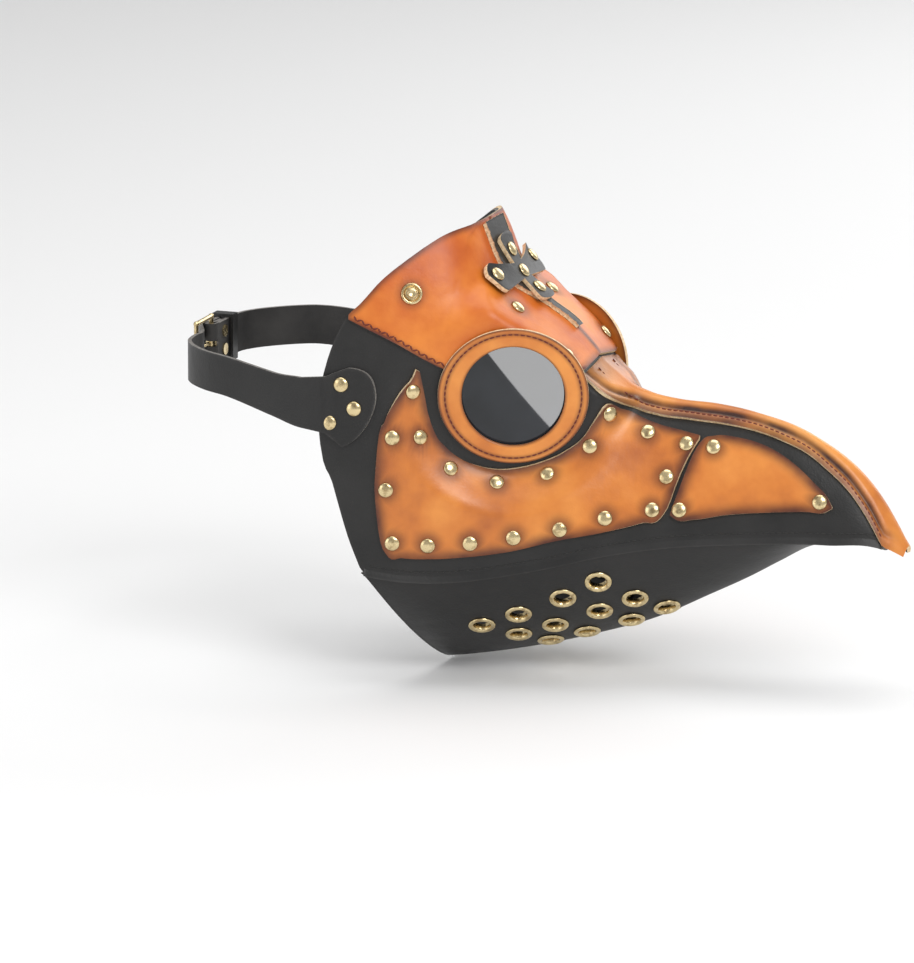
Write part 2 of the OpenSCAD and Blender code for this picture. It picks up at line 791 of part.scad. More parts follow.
module strap_keeper() {
    wall = 1.6;
    keeper_y = 24;
    keeper_w = 7;
    near = 0.7;
    far = 5.6 + strap_t + 0.35;
    half = strap_w / 2 + 0.4;
    color(black_leather)
        translate([-strap_reach, keeper_y, rear_z])
            difference() {
                translate([-far - wall, -keeper_w / 2, -half - wall])
                    cube([far + near + 2 * wall, keeper_w, 2 * (half + wall)]);
                translate([-far, -keeper_w, -half]) cube([far + near, 2 * keeper_w, 2 * half]);
            }
}

right_side_panel();
left_side_panel();
right_forehead_panel();
left_forehead_panel();
underside_panel();
ridge_strip();
right_cheek_patch();
left_cheek_patch();
right_beak_patch();
left_beak_patch();
right_eye_ring();
left_eye_ring();
right_lens();
left_lens();
right_lens_backing_ring();
left_lens_backing_ring();
forehead_center_strip();
forehead_cross();
cross_rivets();
right_forehead_rivets();
left_forehead_rivets();
right_cheek_rivets();
left_cheek_rivets();
right_beak_rivets();
left_beak_rivets();
vent_eyelets();
vent_washers();
right_snap_stud();
left_snap_stud();
right_snap_back();
left_snap_back();
right_strap_tab();
left_strap_tab();
right_strap_rivets();
left_strap_rivets();
right_strap_band();
left_strap_band();
fold_rivets();
buckle_frame();
buckle_prong();
strap_keeper();
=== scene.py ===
"""Plague doctor mask: leather, stitching, rivets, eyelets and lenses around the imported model."""

import math

import bpy
import numpy as np
from mathutils import Matrix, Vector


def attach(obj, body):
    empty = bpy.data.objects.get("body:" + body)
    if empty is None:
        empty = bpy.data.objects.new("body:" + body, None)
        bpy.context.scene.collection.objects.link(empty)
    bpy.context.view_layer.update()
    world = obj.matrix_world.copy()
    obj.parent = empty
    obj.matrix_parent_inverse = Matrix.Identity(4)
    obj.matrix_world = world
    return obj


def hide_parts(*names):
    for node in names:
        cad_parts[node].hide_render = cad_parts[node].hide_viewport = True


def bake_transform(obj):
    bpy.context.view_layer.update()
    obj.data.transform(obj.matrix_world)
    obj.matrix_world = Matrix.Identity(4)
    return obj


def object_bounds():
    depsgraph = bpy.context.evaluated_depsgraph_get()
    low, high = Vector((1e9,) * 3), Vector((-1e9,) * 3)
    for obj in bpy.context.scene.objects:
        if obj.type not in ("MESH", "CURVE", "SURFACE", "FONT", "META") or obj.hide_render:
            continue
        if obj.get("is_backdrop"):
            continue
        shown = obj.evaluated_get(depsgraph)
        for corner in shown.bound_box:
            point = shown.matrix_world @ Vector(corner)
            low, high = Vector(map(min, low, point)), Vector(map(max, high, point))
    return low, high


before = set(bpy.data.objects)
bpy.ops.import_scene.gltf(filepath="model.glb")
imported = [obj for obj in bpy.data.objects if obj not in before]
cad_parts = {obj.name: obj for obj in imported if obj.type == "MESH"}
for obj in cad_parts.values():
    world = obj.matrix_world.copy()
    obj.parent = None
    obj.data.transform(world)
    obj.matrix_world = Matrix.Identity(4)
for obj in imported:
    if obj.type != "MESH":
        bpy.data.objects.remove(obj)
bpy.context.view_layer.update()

MM = 0.001

# ---- The mask's form, in millimetres ----

LEATHER = 1.8
GAP = 0.5
LAYER_2 = LEATHER + GAP
LAYER_3 = LAYER_2 + LEATHER + GAP
LAYER_4 = LAYER_3 + LEATHER + GAP
# How far a stacked sheet reaches down into the gap below it
SINK = 0.4

CREST = [(-4, 130), (14, 125), (41, 105), (64, 83), (71, 66), (80, 51), (90, 42), (100, 35.5),
         (111, 28.5), (122, 18.2), (134, 4.5), (144, -3), (156, -7.8), (172, -10.5), (194, -11.5),
         (215, -14.5), (246, -24.3), (276, -46.5), (300, -82)]
SEAM = [(-4, -88), (23, -94.5), (48, -98), (68, -97.7), (87, -95.3), (106, -91.7), (150, -81.3),
        (179, -76.7), (208, -74.3), (260, -72.4), (287, -74), (300, -82)]
HALF_WIDTH = [(-4, 77.5), (0, 77), (30, 72), (60, 63), (97, 52), (130, 44), (150, 39), (200, 27),
              (250, 16.5), (287, 7.5), (300, 0.8)]
FULLNESS = [(-4, 3), (0, 3), (60, 2.8), (97, 2.4), (130, 1.6), (160, 1.35), (200, 1.35),
            (260, 1.4), (300, 1.5)]
KEEL = [(20, -156), (45, -155), (74, -150), (131, -135), (160, -125), (192, -109), (213, -98),
        (230, -88), (246, -79), (262, -75.5), (290, -78)]
REAR_UPPER = [(-0.4, -2), (4, 17), (13.4, 39.9), (20.3, 47.6), (29.3, 59), (38.7, 67.7), (47.4, 74.3),
              (56.9, 80.6), (64, 83)]
REAR_LOWER = [(-0.4, -12), (0.8, -23.5), (7.7, -47), (15.7, -75), (23, -94.5)]
FOREHEAD_SEAM = [(13.4, 39.9), (38, 27.3), (62, 13.5), (84, 8), (106, 9), (122, 11.3), (130, 8)]
RIDGE_EDGE = [(120, 17), (126.6, 8.7), (134.7, -0.4), (143.3, -7.3), (153.2, -12.5), (163.6, -14.9),
              (182.8, -16.2), (201, -17.3), (219.5, -20.2), (232, -23.8), (244, -28.7), (256.6, -37.1),
              (269.4, -48.3), (278.6, -60.1), (287, -74)]
CHEEK_TOP = [(29.9, -46.3), (31.2, -25.9), (34.4, -13.6), (38.5, -2.6), (45, 7.4), (49.4, 10.5),
             (50.4, 2.7), (51.6, -6.8), (54.8, -19.8), (60.8, -29.4), (68.2, -35.9), (76.3, -39.2),
             (86, -41), (96.4, -40.1), (106.9, -37.3), (120.3, -30.8), (129.9, -22.4), (135.2, -12.8),
             (138.6, -6.5), (144.2, -10.1), (153, -15.3), (164.8, -19.2), (179.3, -21.7),
             (188.7, -23.2)]
CHEEK_BOTTOM = [(29.9, -50), (30.8, -61.8), (32.5, -75.2), (36, -84.3), (43.5, -85.9), (58.1, -86.3),
                (77.2, -84.9), (96.6, -82), (121.1, -75.8), (143.9, -71.6), (164.2, -66.3), (174, -63),
                (177.4, -56.5), (179.9, -46.6), (184, -34.4), (188.7, -24.6)]
BEAK_TOP = [(178.5, -61.3), (183.3, -44), (186.5, -33.3), (190.5, -25.5), (196.4, -23.1),
            (208.6, -23.2), (220.7, -25.5), (233.4, -30.6), (243.3, -37), (251.3, -43.7),
            (258.2, -49.9), (261.4, -54.8)]
BEAK_BOTTOM = [(178.5, -62), (181.9, -64.1), (190.2, -63.7), (207.2, -60.6), (225, -58.8),
               (248.2, -57.5), (258.6, -57.3), (261.4, -55.6)]

CHEEK_RIVETS = [(45.6, 1.8), (38.3, -21.9), (49.2, -23.1), (64, -40.9), (87, -49.4), (112.7, -44.9),
                (133, -28.9), (140, -11.6), (160.7, -23.1), (182.5, -27.5), (174.4, -43.6),
                (169, -59.8), (145.1, -64.3), (122.7, -69.9), (99.5, -74.4), (77.6, -77.7),
                (56.4, -79.1), (38.7, -78), (35.5, -49.6)]
BEAK_RIVETS = [(197, -28.2), (183.1, -59.2), (254.8, -52.6)]
FOREHEAD_RIVETS = [(90.3, 39.6), (118.8, 17.5)]
TAB_RIVETS = [(12.1, 5.4), (19, -7), (6.3, -14.8)]
STUD = (44.2, 52.1)
STUD_LIFT = 0.15

EYE = np.array([95, -40, -0.5])
EYE_TURN = math.radians(20)
EYE_TIP = math.radians(-3)
EYE_NORMAL = np.array([math.cos(EYE_TIP) * math.sin(EYE_TURN),
                       -math.cos(EYE_TIP) * math.cos(EYE_TURN), math.sin(EYE_TIP)])
FLAT_R = 42
BLEND_R = 64
CREST_GUARD = 5
TIP_X = 296.5
RIDGE_START = 127.6

RING_RX = 39.5
RING_RZ = 36.8
SIGHT_R = 27
LENS_R = 28.5
EYE_HOLE_R = LENS_R + 1
RING_SEAM = 0.7
RING_LEAN = math.atan((LAYER_3 - LAYER_2) / (RING_RZ + 14))


def curve(points, x):
    """Smooth curve through control points, at x (a number or an array)."""
    p = np.asarray(points, float)
    x = np.asarray(x, float)
    run = np.diff(p[:, 0])
    secant = np.diff(p[:, 1]) / run
    slope = np.empty(len(p))
    slope[0] = secant[0]
    slope[-1] = secant[-1]
    slope[1:-1] = (secant[:-1] * run[1:] + secant[1:] * run[:-1]) / (run[1:] + run[:-1])
    i = np.clip(np.searchsorted(p[:, 0], x, side="left") - 1, 0, len(p) - 2)
    h = run[i]
    t = (x - p[i, 0]) / h
    return ((2 * t**3 - 3 * t**2 + 1) * p[i, 1] + (t**3 - 2 * t**2 + t) * h * slope[i]
            + (3 * t**2 - 2 * t**3) * p[i + 1, 1] + (t**3 - t**2) * h * slope[i + 1])


def smooth(v):
    t = np.clip(v, 0, 1)
    return t * t * (3 - 2 * t)


def half_width(x, z):
    """Half width of the skin, flattened around the eye."""
    crest = curve(CREST, x)
    seam = curve(SEAM, x)
    down = np.clip((crest - z) / (crest - seam), 0, 1)
    n = curve(FULLNESS, x)
    full = curve(HALF_WIDTH, x) * np.maximum(1 - (1 - down) ** n, 0) ** (1 / n)
    r = np.hypot((x - EYE[0]) / math.cos(EYE_TURN), z - EYE[2])
    flat = smooth((BLEND_R - r) / (BLEND_R - FLAT_R)) * smooth((crest - z) / CREST_GUARD)
    plane = -EYE[1] + (EYE_NORMAL[0] * (x - EYE[0]) + EYE_NORMAL[2] * (z - EYE[2])) / EYE_NORMAL[1]
    return full * (1 - flat) + plane * flat


def around(x, z):
    """How far round the skin a height lies: 0 at the crest, 1 at the seam."""
    crest = curve(CREST, x)
    return np.sqrt(np.clip((crest - z) / (crest - curve(SEAM, x)), 0, 1))


def bare_point(x, s):
    crest = curve(CREST, x)
    z = crest - (crest - curve(SEAM, x)) * s * s
    return np.stack([x, -np.sign(s) * half_width(x, z), z], -1)


def unit(v):
    return v / np.maximum(np.linalg.norm(v, axis=-1, keepdims=True), 1e-9)


def skin_normal(x, s):
    along = bare_point(np.minimum(x + 0.6, TIP_X), s) - bare_point(x - 0.6, s)
    turn = bare_point(x, np.minimum(s + 0.015, 1)) - bare_point(x, np.maximum(s - 0.015, -1))
    return unit(np.cross(turn, along))


def skin(x, s, out):
    """Points at offset out from the skin; s is negative on the left."""
    x, s = np.broadcast_arrays(np.asarray(x, float), np.asarray(s, float))
    return bare_point(x, s) + np.asarray(out)[..., None] * skin_normal(x, s)


def at_place(x, z, out):
    """Point and normal on the skin's right side."""
    s = around(x, z)
    return skin(x, s, out), skin_normal(np.asarray(x, float), np.asarray(s, float))


# ---- Meshes ----

def make_object(name, verts, faces, materials, face_material=None, attributes=None, body="mask",
                replaces=()):
    """A piece from points in millimetres. The rest position and any marks are kept for the materials."""
    verts = np.asarray(verts, float)
    mesh = bpy.data.meshes.new(name)
    mesh.from_pydata((verts * MM).tolist(), [], [list(map(int, f)) for f in faces])
    for material in materials:
        mesh.materials.append(material)
    if face_material is not None:
        mesh.polygons.foreach_set("material_index", np.asarray(face_material, np.int32))
    mesh.polygons.foreach_set("use_smooth", np.ones(len(mesh.polygons), bool))
    rest = mesh.attributes.new("rest", "FLOAT_VECTOR", "POINT")
    rest.data.foreach_set("vector", (verts * MM).astype(np.float32).ravel())
    for key, values in (attributes or {}).items():
        mark = mesh.attributes.new(key, "FLOAT", "POINT")
        mark.data.foreach_set("value", np.asarray(values, np.float32).ravel())
    mesh.validate()
    mesh.update()
    piece = bpy.data.objects.new(name, mesh)
    bpy.context.scene.collection.objects.link(piece)
    if body:
        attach(piece, body)
    if replaces:
        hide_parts(*replaces)
    return piece


def soften(piece, width=0.35, angle=50):
    """Rounds a piece's cut edges."""
    bevel = piece.modifiers.new("soft_edge", "BEVEL")
    bevel.width = width * MM
    bevel.segments = 2
    bevel.limit_method = "ANGLE"
    bevel.angle_limit = math.radians(angle)
    bevel.use_clamp_overlap = True
    bevel.harden_normals = False


def mirrored(verts, faces):
    flipped = np.array(verts, float)
    flipped[:, 1] *= -1
    return flipped, [tuple(reversed(f)) for f in faces]


def grid_faces(rows, cols, start=0, flip=False):
    faces = []
    for i in range(rows - 1):
        for j in range(cols - 1):
            a = start + i * cols + j
            quad = (a, a + cols, a + cols + 1, a + 1)
            faces.append(tuple(reversed(quad)) if flip else quad)
    return faces


def rim_indices(rows, cols):
    return (list(range(cols)) + [i * cols + cols - 1 for i in range(1, rows)]
            + [(rows - 1) * cols + j for j in range(cols - 2, -1, -1)]
            + [i * cols for i in range(rows - 2, 0, -1)])


def closed_sheet(outer, inner):
    """Vertices, faces and face kinds (0 outer, 1 cut edge, 2 inner) of a sheet between two grids."""
    rows, cols, _ = outer.shape
    count = rows * cols
    verts = np.concatenate([outer.reshape(-1, 3), inner.reshape(-1, 3)])
    middle = np.cross(outer[rows // 2, cols // 2] - outer[rows // 2 - 1, cols // 2],
                      outer[rows // 2, cols // 2] - outer[rows // 2, cols // 2 - 1])
    outward = np.dot(middle, outer[rows // 2, cols // 2] - inner[rows // 2, cols // 2]) > 0
    faces = grid_faces(rows, cols, 0, not outward)
    kinds = [0] * len(faces)
    back = grid_faces(rows, cols, count, outward)
    faces += back
    kinds += [2] * len(back)
    rim = rim_indices(rows, cols)
    for k, p in enumerate(rim):
        q = rim[(k + 1) % len(rim)]
        quad = (p, q, q + count, p + count)
        faces.append(quad if not outward else tuple(reversed(quad)))
        kinds.append(1)
    return verts, faces, kinds


def distance_to(points, targets):
    """Distance from each point to the nearest target."""
    out = np.empty(len(points))
    for k in range(0, len(points), 2000):
        block = points[k:k + 2000]
        out[k:k + 2000] = np.sqrt(((block[:, None] - targets[None]) ** 2).sum(-1)).min(1)
    return out


def outline_points(grid, spacing=1.0):
    flat = grid.reshape(-1, 3)[rim_indices(grid.shape[0], grid.shape[1])]
    loop = np.vstack([flat, flat[:1]])
    points = []
    for a, b in zip(loop[:-1], loop[1:]):
        steps = max(1, int(np.linalg.norm(b - a) / spacing))
        points += [a + (b - a) * t / steps for t in range(steps)]
    return np.array(points)


def leather_sheet(name, outer, inner, materials, side=1, rivets=None, burn_edge=7.0,
                  replaces=(), edge_soft=0.4, body="mask", cut=None):
    """A thick leather sheet with burnish marks near its outline and its rivets."""
    verts, faces, kinds = closed_sheet(outer, inner)
    edge = distance_to(verts, outline_points(outer))
    near_edge = 1 - smooth(edge / burn_edge)
    near_rivet = np.zeros(len(verts))
    if rivets is not None and len(rivets):
        near_rivet = 1 - smooth((distance_to(verts, np.array(rivets)) - 3.5) / 7.5)
    if side < 0:
        verts, faces = mirrored(verts, faces)
    if cut is not None:
        keep = [k for k, f in enumerate(faces) if cut(verts[list(f)].mean(0) * [1, side, 1])]
        faces = [faces[k] for k in keep]
        kinds = [kinds[k] for k in keep]
    piece = make_object(name, verts, faces, materials, kinds,
                        {"burn": near_edge, "spot": near_rivet}, body=body,
                        replaces=replaces)
    soften(piece, edge_soft)
    return piece


def revolve(profile, segments=32):
    """Vertices and faces of a profile [(r, z), ...] turned about Z."""
    profile = np.asarray(profile, float)
    a = np.linspace(0, 2 * math.pi, segments, endpoint=False)
    verts = np.stack([np.outer(profile[:, 0], np.cos(a)), np.outer(profile[:, 0], np.sin(a)),
                      np.repeat(profile[:, 1:2], segments, 1)], -1).reshape(-1, 3)
    faces = []
    for i in range(len(profile) - 1):
        for j in range(segments):
            k = (j + 1) % segments
            faces.append((i * segments + j, i * segments + k, (i + 1) * segments + k,
                          (i + 1) * segments + j))
    return verts, faces


def facing(direction):
    """Rotation matrix whose third column is the direction."""
    z = unit(np.asarray(direction, float))
    x = unit(np.cross([0, 0, 1.0], z)) if abs(z[2]) < 0.95 else np.array([1.0, 0, 0])
    y = np.cross(z, x)
    x = np.cross(y, z)
    return np.stack([x, y, z], 1)


def placed_copies(verts, faces, places):
    """Copies of a shape at [(point, rotation), ...] joined as one list."""
    all_verts, all_faces = [], []
    for point, turn in places:
        start = sum(len(v) for v in all_verts)
        all_verts.append(verts @ turn.T + point)
        all_faces += [tuple(i + start for i in f) for f in faces]
    return np.concatenate(all_verts), all_faces


def brass_piece(name, profile, segments, places, replaces, side=1):
    """Copies of one turned shape, as one piece of brass."""
    verts, faces = placed_copies(*revolve(profile, segments), places)
    if side < 0:
        verts, faces = mirrored(verts, faces)
    make_object(name, verts, faces, [BRASS], replaces=[replaces])


# ---- Materials ----

def new_material(name):
    material = bpy.data.materials.new(name)
    material.use_nodes = True
    tree = material.node_tree
    shader = tree.nodes["Principled BSDF"]
    return material, tree, shader


def node(tree, kind, **settings):
    made = tree.nodes.new(kind)
    for key, value in settings.items():
        if key.startswith("in_"):
            made.inputs[key[3:].replace("_", " ")].default_value = value
        else:
            setattr(made, key, value)
    return made


def rest_place(tree):
    return node(tree, "ShaderNodeAttribute", attribute_name="rest").outputs["Vector"]


def noise(tree, place, scale, detail=3.0, rough=0.5):
    made = node(tree, "ShaderNodeTexNoise", in_Scale=scale, in_Detail=detail, in_Roughness=rough)
    tree.links.new(place, made.inputs["Vector"])
    return made.outputs["Fac"]


def ramp(tree, source, stops):
    made = node(tree, "ShaderNodeValToRGB")
    elements = made.color_ramp.elements
    while len(elements) < len(stops):
        elements.new(0.5)
    for element, (at, colour) in zip(elements, stops):
        element.position = at
        element.color = (*colour, 1)
    tree.links.new(source, made.inputs["Fac"])
    return made.outputs["Color"]


def math_node(tree, operation, a, b=None):
    made = node(tree, "ShaderNodeMath", operation=operation)
    for k, value in enumerate((a, b)):
        if value is None:
            continue
        if isinstance(value, (int, float)):
            made.inputs[k].default_value = value
        else:
            tree.links.new(value, made.inputs[k])
    return made.outputs[0]


def spread(tree, source, amount, base):
    """The source scaled by an amount and added to a base."""
    return math_node(tree, "ADD", math_node(tree, "MULTIPLY", source, amount), base)


def mix_colour(tree, factor, a, b):
    made = node(tree, "ShaderNodeMix", data_type="RGBA", blend_type="MIX")
    for socket, value in zip((0, 6, 7), (factor, a, b)):
        if isinstance(value, (int, float)):
            made.inputs[socket].default_value = value
        elif isinstance(value, tuple):
            made.inputs[socket].default_value = (*value, 1)
        else:
            tree.links.new(value, made.inputs[socket])
    return made.outputs[2]


def bump(tree, shader, height, strength, distance, before=None):
    made = node(tree, "ShaderNodeBump", in_Strength=strength, in_Distance=distance)
    tree.links.new(height, made.inputs["Height"])
    if before is not None:
        tree.links.new(before, made.inputs["Normal"])
    tree.links.new(made.outputs["Normal"], shader.inputs["Normal"])
    return made.outputs["Normal"]


def grain(tree, place, shader, pore=900, fine=2600, strength=0.25):
    """Leather grain: small pebbles with fine noise and a slow unevenness."""
    cells = node(tree, "ShaderNodeTexVoronoi", feature="SMOOTH_F1", in_Scale=pore)
    tree.links.new(place, cells.inputs["Vector"])
    fine_noise = noise(tree, place, fine, 2.0)
    height = math_node(tree, "MULTIPLY_ADD", fine_noise, 0.35)
    height.node.inputs[2].default_value = 0
    tree.links.new(cells.outputs["Distance"], height.node.inputs[2])
    first = bump(tree, shader, height, strength, 0.00025)
    slow = noise(tree, place, 70, 3.0)
    return bump(tree, shader, slow, 0.35, 0.0012, first)


def tan_leather(name, light, mid, dark, burnt, rough=0.36):
    """Burnished tan leather: darker at its edges and round its rivets, and on the ridge strip darker along
    its groove with painted shade.
    """
    material, tree, shader = new_material(name)
    place = rest_place(tree)
    cloud = noise(tree, place, 22, 4.0, 0.55)
    streak = noise(tree, place, 90, 4.0, 0.6)
    base = ramp(tree, cloud, [(0.3, dark), (0.48, mid), (0.7, light)])
    base = mix_colour(tree, math_node(tree, "MULTIPLY", streak, 0.28), base, mid)
    # The burn mark is edge burnish; on the ridge strip it also holds painted shade along the groove
    edge = node(tree, "ShaderNodeAttribute", attribute_name="burn").outputs["Fac"]
    spot = node(tree, "ShaderNodeAttribute", attribute_name="spot").outputs["Fac"]
    patchy = spread(tree, noise(tree, place, 55, 3.0), 1.0, 0.4)
    edge_burnish_and_groove_shade = math_node(tree, "MULTIPLY", math_node(tree, "POWER", edge, 1.5), patchy)
    spot_burn = math_node(tree, "MULTIPLY", math_node(tree, "POWER", spot, 1.2), 0.62)
    burn = math_node(tree, "MINIMUM", math_node(tree, "MAXIMUM", edge_burnish_and_groove_shade, spot_burn), 1.0)
    colour = mix_colour(tree, burn, base, burnt)
    tree.links.new(colour, shader.inputs["Base Color"])
    gloss = spread(tree, streak, 0.22, rough - 0.1)
    tree.links.new(gloss, shader.inputs["Roughness"])
    shader.inputs["Coat Weight"].default_value = 0.08
    shader.inputs["Coat Roughness"].default_value = 0.28
    grain(tree, place, shader, strength=0.16)
    return material


def black_leather(name, rough=0.46, tone=0.0085):
    material, tree, shader = new_material(name)
    place = rest_place(tree)
    cloud = noise(tree, place, 30, 4.0, 0.6)
    colour = ramp(tree, cloud, [(0.35, (tone * 0.6, tone * 0.57, tone * 0.55)),
                                (0.7, (tone * 1.5, tone * 1.42, tone * 1.36))])
    worn = node(tree, "ShaderNodeAttribute", attribute_name="burn").outputs["Fac"]
    flecks = noise(tree, place, 260, 3.0)
    scuff = math_node(tree, "MULTIPLY", math_node(tree, "POWER", worn, 4.0), flecks)
    colour = mix_colour(tree, math_node(tree, "MULTIPLY", scuff, 0.25), colour, (0.09, 0.083, 0.078))
    tree.links.new(colour, shader.inputs["Base Color"])
    gloss = spread(tree, cloud, 0.24, rough - 0.12)
    tree.links.new(gloss, shader.inputs["Roughness"])
    grain(tree, place, shader, pore=1100, strength=0.3)
    return material


def raw_edge(name, colour, dark):
    """Cut edge of a sheet: pale fibres with darker lines along them."""
    material, tree, shader = new_material(name)
    place = rest_place(tree)
    fibres = noise(tree, place, 700, 4.0, 0.7)
    tree.links.new(ramp(tree, fibres, [(0.3, dark), (0.6, colour)]), shader.inputs["Base Color"])
    shader.inputs["Roughness"].default_value = 0.8
    bump(tree, shader, fibres, 0.5, 0.0003)
    return material


def brass(name, colour=(0.74, 0.6, 0.34), dull=(0.42, 0.31, 0.16), rough=0.24):
    material, tree, shader = new_material(name)
    place = rest_place(tree)
    age = noise(tree, place, 260, 4.0, 0.65)
    tree.links.new(ramp(tree, age, [(0.36, dull), (0.52, colour)]), shader.inputs["Base Color"])
    gloss = spread(tree, noise(tree, place, 900, 3.0), 0.2, rough - 0.1)
    tree.links.new(gloss, shader.inputs["Roughness"])
    shader.inputs["Metallic"].default_value = 1.0
    bump(tree, shader, noise(tree, place, 1500, 3.0), 0.12, 0.0001)
    return material


def thread(name, colour):
    material, tree, shader = new_material(name)
    place = rest_place(tree)
    twist = noise(tree, place, 2200, 2.0)
    shade = ramp(tree, twist, [(0.3, tuple(c * 0.6 for c in colour)), (0.7, colour)])
    tree.links.new(shade, shader.inputs["Base Color"])
    shader.inputs["Roughness"].default_value = 0.6
    bump(tree, shader, twist, 0.5, 0.0002)
    return material


def lens_glass(name):
    material, tree, shader = new_material(name)
    place = rest_place(tree)
    haze = noise(tree, place, 40, 3.0)
    tree.links.new(ramp(tree, haze, [(0.3, (0.004, 0.0045, 0.005)), (0.8, (0.009, 0.01, 0.012))]),
                   shader.inputs["Base Color"])
    smear = spread(tree, haze, 0.03, 0.02)
    tree.links.new(smear, shader.inputs["Roughness"])
    shader.inputs["IOR"].default_value = 1.45
    return material


TAN = tan_leather("tan_leather", (0.80, 0.31, 0.060), (0.60, 0.185, 0.028), (0.36, 0.09, 0.018),
                  (0.085, 0.019, 0.006))
FOREHEAD_TAN = tan_leather("forehead_tan", (0.78, 0.25, 0.030), (0.56, 0.12, 0.009),
                           (0.38, 0.050, 0.004), (0.10, 0.014, 0.003), rough=0.44)
RIDGE_TAN = tan_leather("ridge_tan", (0.85, 0.36, 0.07), (0.60, 0.19, 0.03), (0.30, 0.07, 0.012),
                        (0.04, 0.01, 0.005))
BLACK = black_leather("black_leather")
BLACK_INSIDE = black_leather("black_lining", rough=0.7, tone=0.03)
CREAM = raw_edge("cream_edge", (0.86, 0.68, 0.44), (0.50, 0.30, 0.14))
GREY_EDGE = raw_edge("grey_edge", (0.22, 0.205, 0.19), (0.07, 0.065, 0.06))
BLACK_SHEET = [BLACK, GREY_EDGE, BLACK_INSIDE]
BRASS = brass("aged_brass")
DARK_THREAD = thread("oxblood_thread", (0.16, 0.022, 0.012))
BLACK_THREAD = thread("black_thread", (0.02, 0.019, 0.018))
LENS = lens_glass("dark_lens")


# ---- Camera, floor and light ----

def area_light(name, place, target, size, power, across=(0, 0, 1.0)):
    """A soft panel facing its target; its width runs square to across."""
    light = bpy.data.lights.new(name, "AREA")
    light.shape = "RECTANGLE"
    light.size, light.size_y = size
    light.energy = power
    lamp = bpy.data.objects.new(name, light)
    bpy.context.scene.collection.objects.link(lamp)
    away = unit(np.array(place, float) - np.array(target, float))
    wide = unit(np.cross(across, away))
    lamp.matrix_world = Matrix([[*row, at] for row, at in
                                zip(np.stack([wide, np.cross(away, wide), away], 1).tolist(), place)]
                               + [[0, 0, 0, 1]])
    return lamp


def lens_card(lens):
    """A soft panel that only the near lens reflects, so that its edge crosses the glass."""
    towards_camera = np.array([0.333, -0.916, 0.225])
    place, turn = eye_frame()
    normal = turn[:, 2]
    seen = 2 * np.dot(normal, towards_camera) * normal - towards_camera
    right = unit(np.cross(seen, [0, 0, -1.0]))
    up = np.cross(seen, right)
    up = up if up[2] > 0 else -up
    slant = math.radians(38)
    outward = math.cos(slant) * right + math.sin(slant) * up
    middle = place([[0, 0, 0]])[0] * MM
    card = area_light("lens_card", middle + 0.2 * seen + 0.101 * outward, middle + 0.101 * outward,
                      (0.18, 0.3), 1.7, np.cross(seen, outward))
    card.visible_camera = False
    lit = bpy.data.collections.new("lens_card_lights")
    lit.objects.link(lens)
    card.light_linking.receiver_collection = lit


def studio():
    camera = bpy.data.cameras.new("camera")
    camera.lens = 353
    camera.sensor_width = 36
    camera.clip_end = 50
    holder = bpy.data.objects.new("camera", camera)
    bpy.context.scene.collection.objects.link(holder)
    turn, rise, distance = math.radians(20), math.radians(13), 5.0
    aim = np.array([0.0492, 0, -0.060])
    away = np.array([math.sin(turn) * math.cos(rise), -math.cos(turn) * math.cos(rise), math.sin(rise)])
    holder.location = aim + distance * away
    holder.rotation_euler = (math.pi / 2 - rise, 0, turn)
    bpy.context.scene.camera = holder

    floor_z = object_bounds()[0][2] - 0.002
    profile = [(-4.0, 0.0), (3.0, 0.0), (3.6, 0.1), (4.0, 0.5), (4.15, 1.2), (4.2, 4.0)]
    verts, faces = [], []
    for k, (y, z) in enumerate(profile):
        verts += [(-7.0, y, floor_z + z), (7.0, y, floor_z + z)]
        if k:
            faces.append((2 * k - 2, 2 * k - 1, 2 * k + 1, 2 * k))
    mesh = bpy.data.meshes.new("floor")
    mesh.from_pydata(verts, [], faces)
    floor = bpy.data.objects.new("floor", mesh)
    bpy.context.scene.collection.objects.link(floor)
    material, _, shader = new_material("pale_floor")
    shader.inputs["Base Color"].default_value = (0.86, 0.86, 0.86, 1)
    shader.inputs["Roughness"].default_value = 0.9
    mesh.materials.append(material)
    floor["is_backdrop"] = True

    centre = np.array([0.1, 0, -0.03])
    area_light("key", (1.5, -1.3, 1.35), centre, (1.1, 0.9), 26)
    area_light("side_fill", (-1.3, -1.9, 0.5), centre, (1.6, 1.6), 11)
    area_light("top", (0.1, 0.1, 1.9), centre, (1.6, 1.6), 17)
    area_light("far_fill", (0.6, 2.0, 0.9), centre, (1.4, 1.4), 14)
    world = bpy.data.worlds.new("studio")
    world.use_nodes = True
    world.node_tree.nodes["Background"].inputs["Color"].default_value = (1, 1, 1, 1)
    world.node_tree.nodes["Background"].inputs["Strength"].default_value = 0.5
    bpy.context.scene.world = world
    bpy.context.scene.view_settings.view_transform = "Standard"


studio()


# ---- Leather panels ----

def skin_grid(stations, upper, lower, rows, out):
    x = np.asarray(stations, float)[:, None]
    s0 = around(x, upper(x))
    s1 = around(x, lower(x))
    s = s0 + (s1 - s0) * np.linspace(0, 1, rows + 1)[None, :]
    x = np.broadcast_to(x, s.shape)
    return skin(x, s, np.full(s.shape, float(out)))


def stations(a, b, spacing):
    return np.linspace(a, b, int(round((b - a) / spacing)) + 1)


def side_name(side):
    return "right" if side > 0 else "left"


def panel_top(x):
    return np.where(x < 64, curve(REAR_UPPER, np.minimum(x, 64)), curve(CREST, x))


def panel_bottom(x):
    return np.where(x < 23, curve(REAR_LOWER, np.minimum(x, 23)), curve(SEAM, x))


def outside_eye(r):
    def keep(point):
        local = point - EYE
        flat = local - EYE_NORMAL * np.dot(local, EYE_NORMAL)
        return np.linalg.norm(flat) > r or abs(np.dot(local, EYE_NORMAL)) > 15
    return keep


def places_on_skin(points, out):
    return [at_place(x, z, out)[0] for x, z in points]


